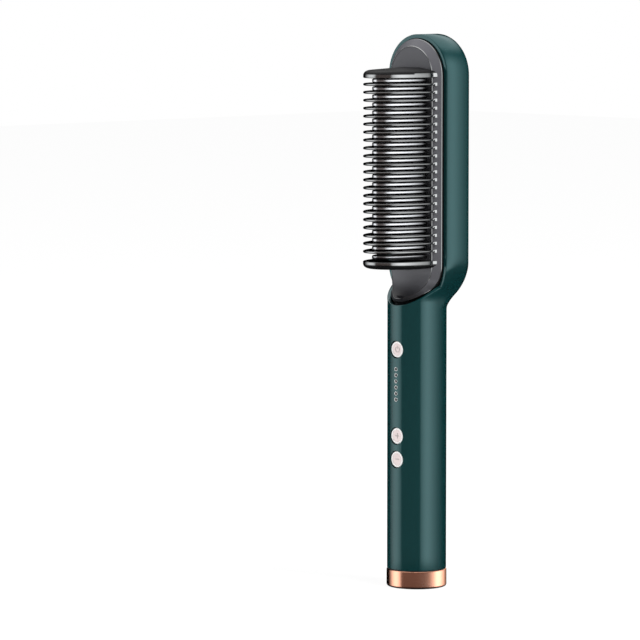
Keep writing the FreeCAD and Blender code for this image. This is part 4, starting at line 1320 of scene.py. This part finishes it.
def signs_of(name):
    """The strokes of a button's sign."""
    if name == "power_button":
        return [sign_ring(power_ring, thin_stroke, power_gap),
                sign_bar(power_stroke, thin_stroke, 0, power_shift)]
    if name == "temp_up_button":
        return [sign_bar(long_stroke, thick_stroke, 0), sign_bar(long_stroke, thick_stroke, 90)]
    return [sign_bar(long_stroke, thick_stroke, 90)]


print("signs ready")

# %% [markdown]
# ## Buttons
# Each button is a little dished cap with a raised rim, on a flange that keeps it in the handle. Its
# profile starts at the middle of the back, goes out round the flange, up over the rim, and in along
# the dish, which is slightly deeper in the middle.

# %% Profile of a button
rim_width = 0.95 * MM
rim_outer_round = 0.4 * MM
rim_inner_round = 0.2 * MM
dish_inside = button_radius - rim_width
dish_depth = 0.2 * MM
flange_thickness = 0.7 * MM
needle = 0.01 * MM


def button_profile(flange_radius, back, front):
    """The profile of a button cap between its back and its front."""
    flange_top = back + flange_thickness
    dish = front - dish_depth
    outline = [(needle, back), (flange_radius, back), (flange_radius, flange_top),
               (button_radius, flange_top)]
    outline += arc(button_radius - rim_outer_round, front - rim_outer_round,
                   rim_outer_round, 0, 90, 5)
    outline += arc(dish_inside + rim_inner_round, front - rim_inner_round,
                   rim_inner_round, 90, 180, 3)
    return outline + [(dish_inside * 0.8, dish - 0.05 * MM), (dish_inside * 0.4, dish - 0.1 * MM),
                      (needle, dish - 0.12 * MM)]


print("dish", round(2 * dish_inside / MM, 2), "mm wide")

# %% [markdown]
# The cap is turned from its profile, its rim gets the near-white of the painted highlight, the sign
# is set into the dish and joined to it, and the whole is tipped forward. Each button rides on its
# own body, because it is pressed.

# %% Button caps
rim_overlap = 0.1 * MM
rim_depth = 1 * MM
sign_depth = dish_depth + 0.1 * MM
for name in button_names:
    low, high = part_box(name)
    back, front = -high[1], -low[1]
    profile = button_profile((high[0] - low[0]) / 2, back, front)
    cap = turned(name + "_cap", profile, button_sides)
    # The rim's near-white is a painted highlight.
    for coating in (pale_rose, pale_rim_highlight):
        cap.data.materials.append(coating)
    for face in cap.data.polygons:
        across = Vector(face.center[:2]).length
        on_rim = across > dish_inside - rim_overlap and face.center[2] > front - rim_depth
        face.material_index = int(on_rim)
    strokes = signs_of(name)
    for stroke in strokes:
        raised(stroke, front - sign_depth)
        stroke.data.materials.append(sign_grey)
    pick(cap)
    for stroke in strokes:
        stroke.select_set(True)
    bpy.ops.object.join()
    tipped_forward(cap, (0, 0, (low[2] + high[2]) / 2))
    bpy.ops.object.shade_smooth_by_angle(angle=math.radians(35))
    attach(cap, name)
    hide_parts(name)
    print(cap.name, len(cap.data.polygons), "faces in", len(cap.data.materials), "finishes")

# %% [markdown]
# ## Rings of the indicator windows
# Each indicator sits behind a small ring pressed into the shell, whose pale colour is a painted
# highlight on the window's edge. Its front edge shows as a fine light line, and the inside of the
# ring as a crescent beside the dark window. One ring is turned and tipped forward, and the others
# are copies of it.

# %% Window rings
ring_outer = window_radius - 0.01 * MM
ring_inner = 0.84 * MM
ring_depth = 0.45 * MM
ring_segments = 32
ring_round = 0.07 * MM
ring_shoulder = 0.06 * MM
profile = [(ring_inner, -ring_depth), (ring_outer, -ring_depth), (ring_outer, -ring_shoulder)]
profile += arc(ring_outer - ring_round, -0.05 * MM, ring_round, 0, 90, 3)
profile += [(ring_inner, 0.0), (ring_inner, -ring_depth)]
ring = turned("window_ring_1", profile, ring_segments)
tipped_forward(ring, (0, -handle_radius, first_window))
window_rings = copied(ring, ["window_ring_%d" % number for number in range(2, window_count + 1)])
for piece, level in zip(window_rings, window_levels):
    raised(piece, level - first_window)
    # The ring's pale colour is a painted highlight on the window's edge.
    dressed(piece, pale_rim_highlight, "handle")
print(len(window_rings), "window rings")

# %% [markdown]
# ## Light tent
# The brush stands on a white table in a light tent. Two tall soft panels stand left and right of
# the camera and the space around the camera is dark, which draws the long bands on the round
# handle. The panels are painted into the world as bright bands by direction, in degrees from the
# camera; the camera itself only sees white.

# %% Panels by direction
left_panel = ((-130, 0.0), (-118, 0.17), (-104, 0.45), (-93, 0.64), (-82, 0.67), (-72, 0.50),
              (-66, 0.34))
dark_gap = ((-60, 0.055), (12, 0.055))
right_panel = ((17, 0.42), (26, 0.66), (34, 0.81), (42, 0.86), (50, 0.80), (59, 0.66), (68, 0.51),
               (78, 0.36), (88, 0.21), (100, 0.11), (112, 0.04), (128, 0.0))
panel_warmth = -0.03
gap_warmth = 0.16


def band(degrees, level, warmth):
    """A stop of the ramp: its place round the circle, and its colour, warmer or cooler."""
    return degrees / 360 + 0.5, (level, level * (1 - warmth), level * (1 - 1.3 * warmth), 1)


stops = [band(-180, 0.0, panel_warmth)]
stops += [band(*row, panel_warmth) for row in left_panel]
stops += [band(*row, gap_warmth) for row in dark_gap]
stops += [band(*row, panel_warmth) for row in right_panel]
stops += [band(180, 0.0, panel_warmth)]
world = bpy.data.worlds.new("light_tent")
scene.world = world
tent = Finish(world)
heading = tent.node("ShaderNodeSeparateXYZ", sockets={
    "Vector": tent.read(tent.node("ShaderNodeTexCoord"), "Generated")})
along_x, along_y, along_z = [tent.read(heading, axis) for axis in "XYZ"]
across = along_x * math.cos(camera_turn) + along_y * math.sin(camera_turn)
toward = along_x * math.sin(camera_turn) - along_y * math.cos(camera_turn)
turn = across.math("ARCTAN2", across, toward) / (2 * math.pi) + 0.5
panels = tent.node("ShaderNodeValToRGB", {"stops": stops}, {"Fac": turn})
print("bands of the tent:", len(stops), "stops")

# %% [markdown]
# The panels end softly above and below, and a white roof leans over the brush from behind. Glossy
# surfaces mirror the panels and the roof; everything else is lit by an even, weaker white, so that
# colours look about as they are written.

# %% Roof and sky
panel_strength = 3.0
panel_rest = 0.06
panel_foot = (-0.45, -0.22)
panel_head = (0.40, 0.95)
roof_strength = 1.8
roof_lean = math.radians(15)
roof_edge = (0.62, 0.90)
even_strength = 0.45
white = (1, 1, 1, 1)
upright = tent.soft_step(along_z, *panel_foot) * (1 - tent.soft_step(along_z, *panel_head))
tall = panel_rest + (1 - panel_rest) * upright
roof = tent.soft_step(
    along_z * math.cos(roof_lean) - toward * math.sin(roof_lean), *roof_edge)
mirrored = tent.node("ShaderNodeBackground", sockets={
    "Color": tent.blend(roof, tent.read(panels, "Color"), white),
    "Strength": tall * (1 - roof) * panel_strength + roof * roof_strength})
path = tent.node("ShaderNodeLightPath")
seen = tent.read(path, "Is Camera Ray")
even = tent.node("ShaderNodeBackground", sockets={
    "Color": white, "Strength": seen + (1 - seen) * even_strength})
sky = tent.node("ShaderNodeMixShader", sockets={
    0: tent.read(path, "Is Glossy Ray"), 1: tent.read(even, 0), 2: tent.read(mirrored, 0)})
tent.node("ShaderNodeOutputWorld", sockets={0: tent.read(sky, 0)})
print("light tent:", len(tent.tree.nodes), "nodes")

# %% [markdown]
# ## Table
# The table is a large white sheet. Its own colour takes the soft shadow of the brush; for the
# camera alone a white glow is mixed in, so that the sheet runs into the white of the tent.

# %% Table
table_size = 8
table_gap = 0.2 * MM
table_glow = 1.07
glow_share = 0.86
bpy.ops.object.select_all(action="DESELECT")
bpy.ops.mesh.primitive_plane_add(size=table_size, location=(0, 0, -table_gap))
table = bpy.context.object
table.name = "white_table"
cover = finish("table_cover")
path = cover.node("ShaderNodeLightPath")
fibre = cover.noise(2 * MM, 3)
matt = cover.node("ShaderNodeBsdfDiffuse", sockets={
    "Color": cover.blend(fibre, (0.80, 0.80, 0.80, 1), (0.84, 0.84, 0.84, 1))})
glow = cover.node("ShaderNodeEmission", sockets={"Color": white, "Strength": table_glow})
mix = cover.node("ShaderNodeMixShader", sockets={
    0: cover.read(path, "Is Camera Ray") * glow_share,
    1: cover.read(matt, 0), 2: cover.read(glow, 0)})
cover.node("ShaderNodeOutputMaterial", sockets={0: cover.read(mix, 0)})
table.data.materials.append(cover.owner)
table.visible_glossy = False
print("table:", table_size, "metres wide")

# %% [markdown]
# ## Lamps
# Two soft lamps stand where the panels are and give the matt surfaces their modelling. They are
# left out of reflections, because the painted panels already draw those.

# %% Lamps
lamp_distance = 1.1
brush_middle = Vector((0, 0, 140 * MM))


def soft_lamp(name, turn_degrees, height, size, power):
    """A square soft lamp that looks at the brush's middle, by its heading from the camera."""
    heading = camera_turn + math.radians(turn_degrees)
    spot = Vector((lamp_distance * math.sin(heading), -lamp_distance * math.cos(heading), height))
    bpy.ops.object.select_all(action="DESELECT")
    bpy.ops.object.light_add(type="AREA", location=spot)
    lamp = bpy.context.object
    lamp.name = name
    lamp.data.size = size
    lamp.data.energy = power
    lamp.rotation_euler = (brush_middle - spot).to_track_quat("-Z", "Y").to_euler()
    lamp.visible_camera = False
    lamp.visible_glossy = False
    print(name, "with", power, "watts")


soft_lamp("right_panel", turn_degrees=48, height=2.4, size=0.8, power=68)
soft_lamp("left_panel", turn_degrees=-90, height=0.4, size=0.7, power=4.5)
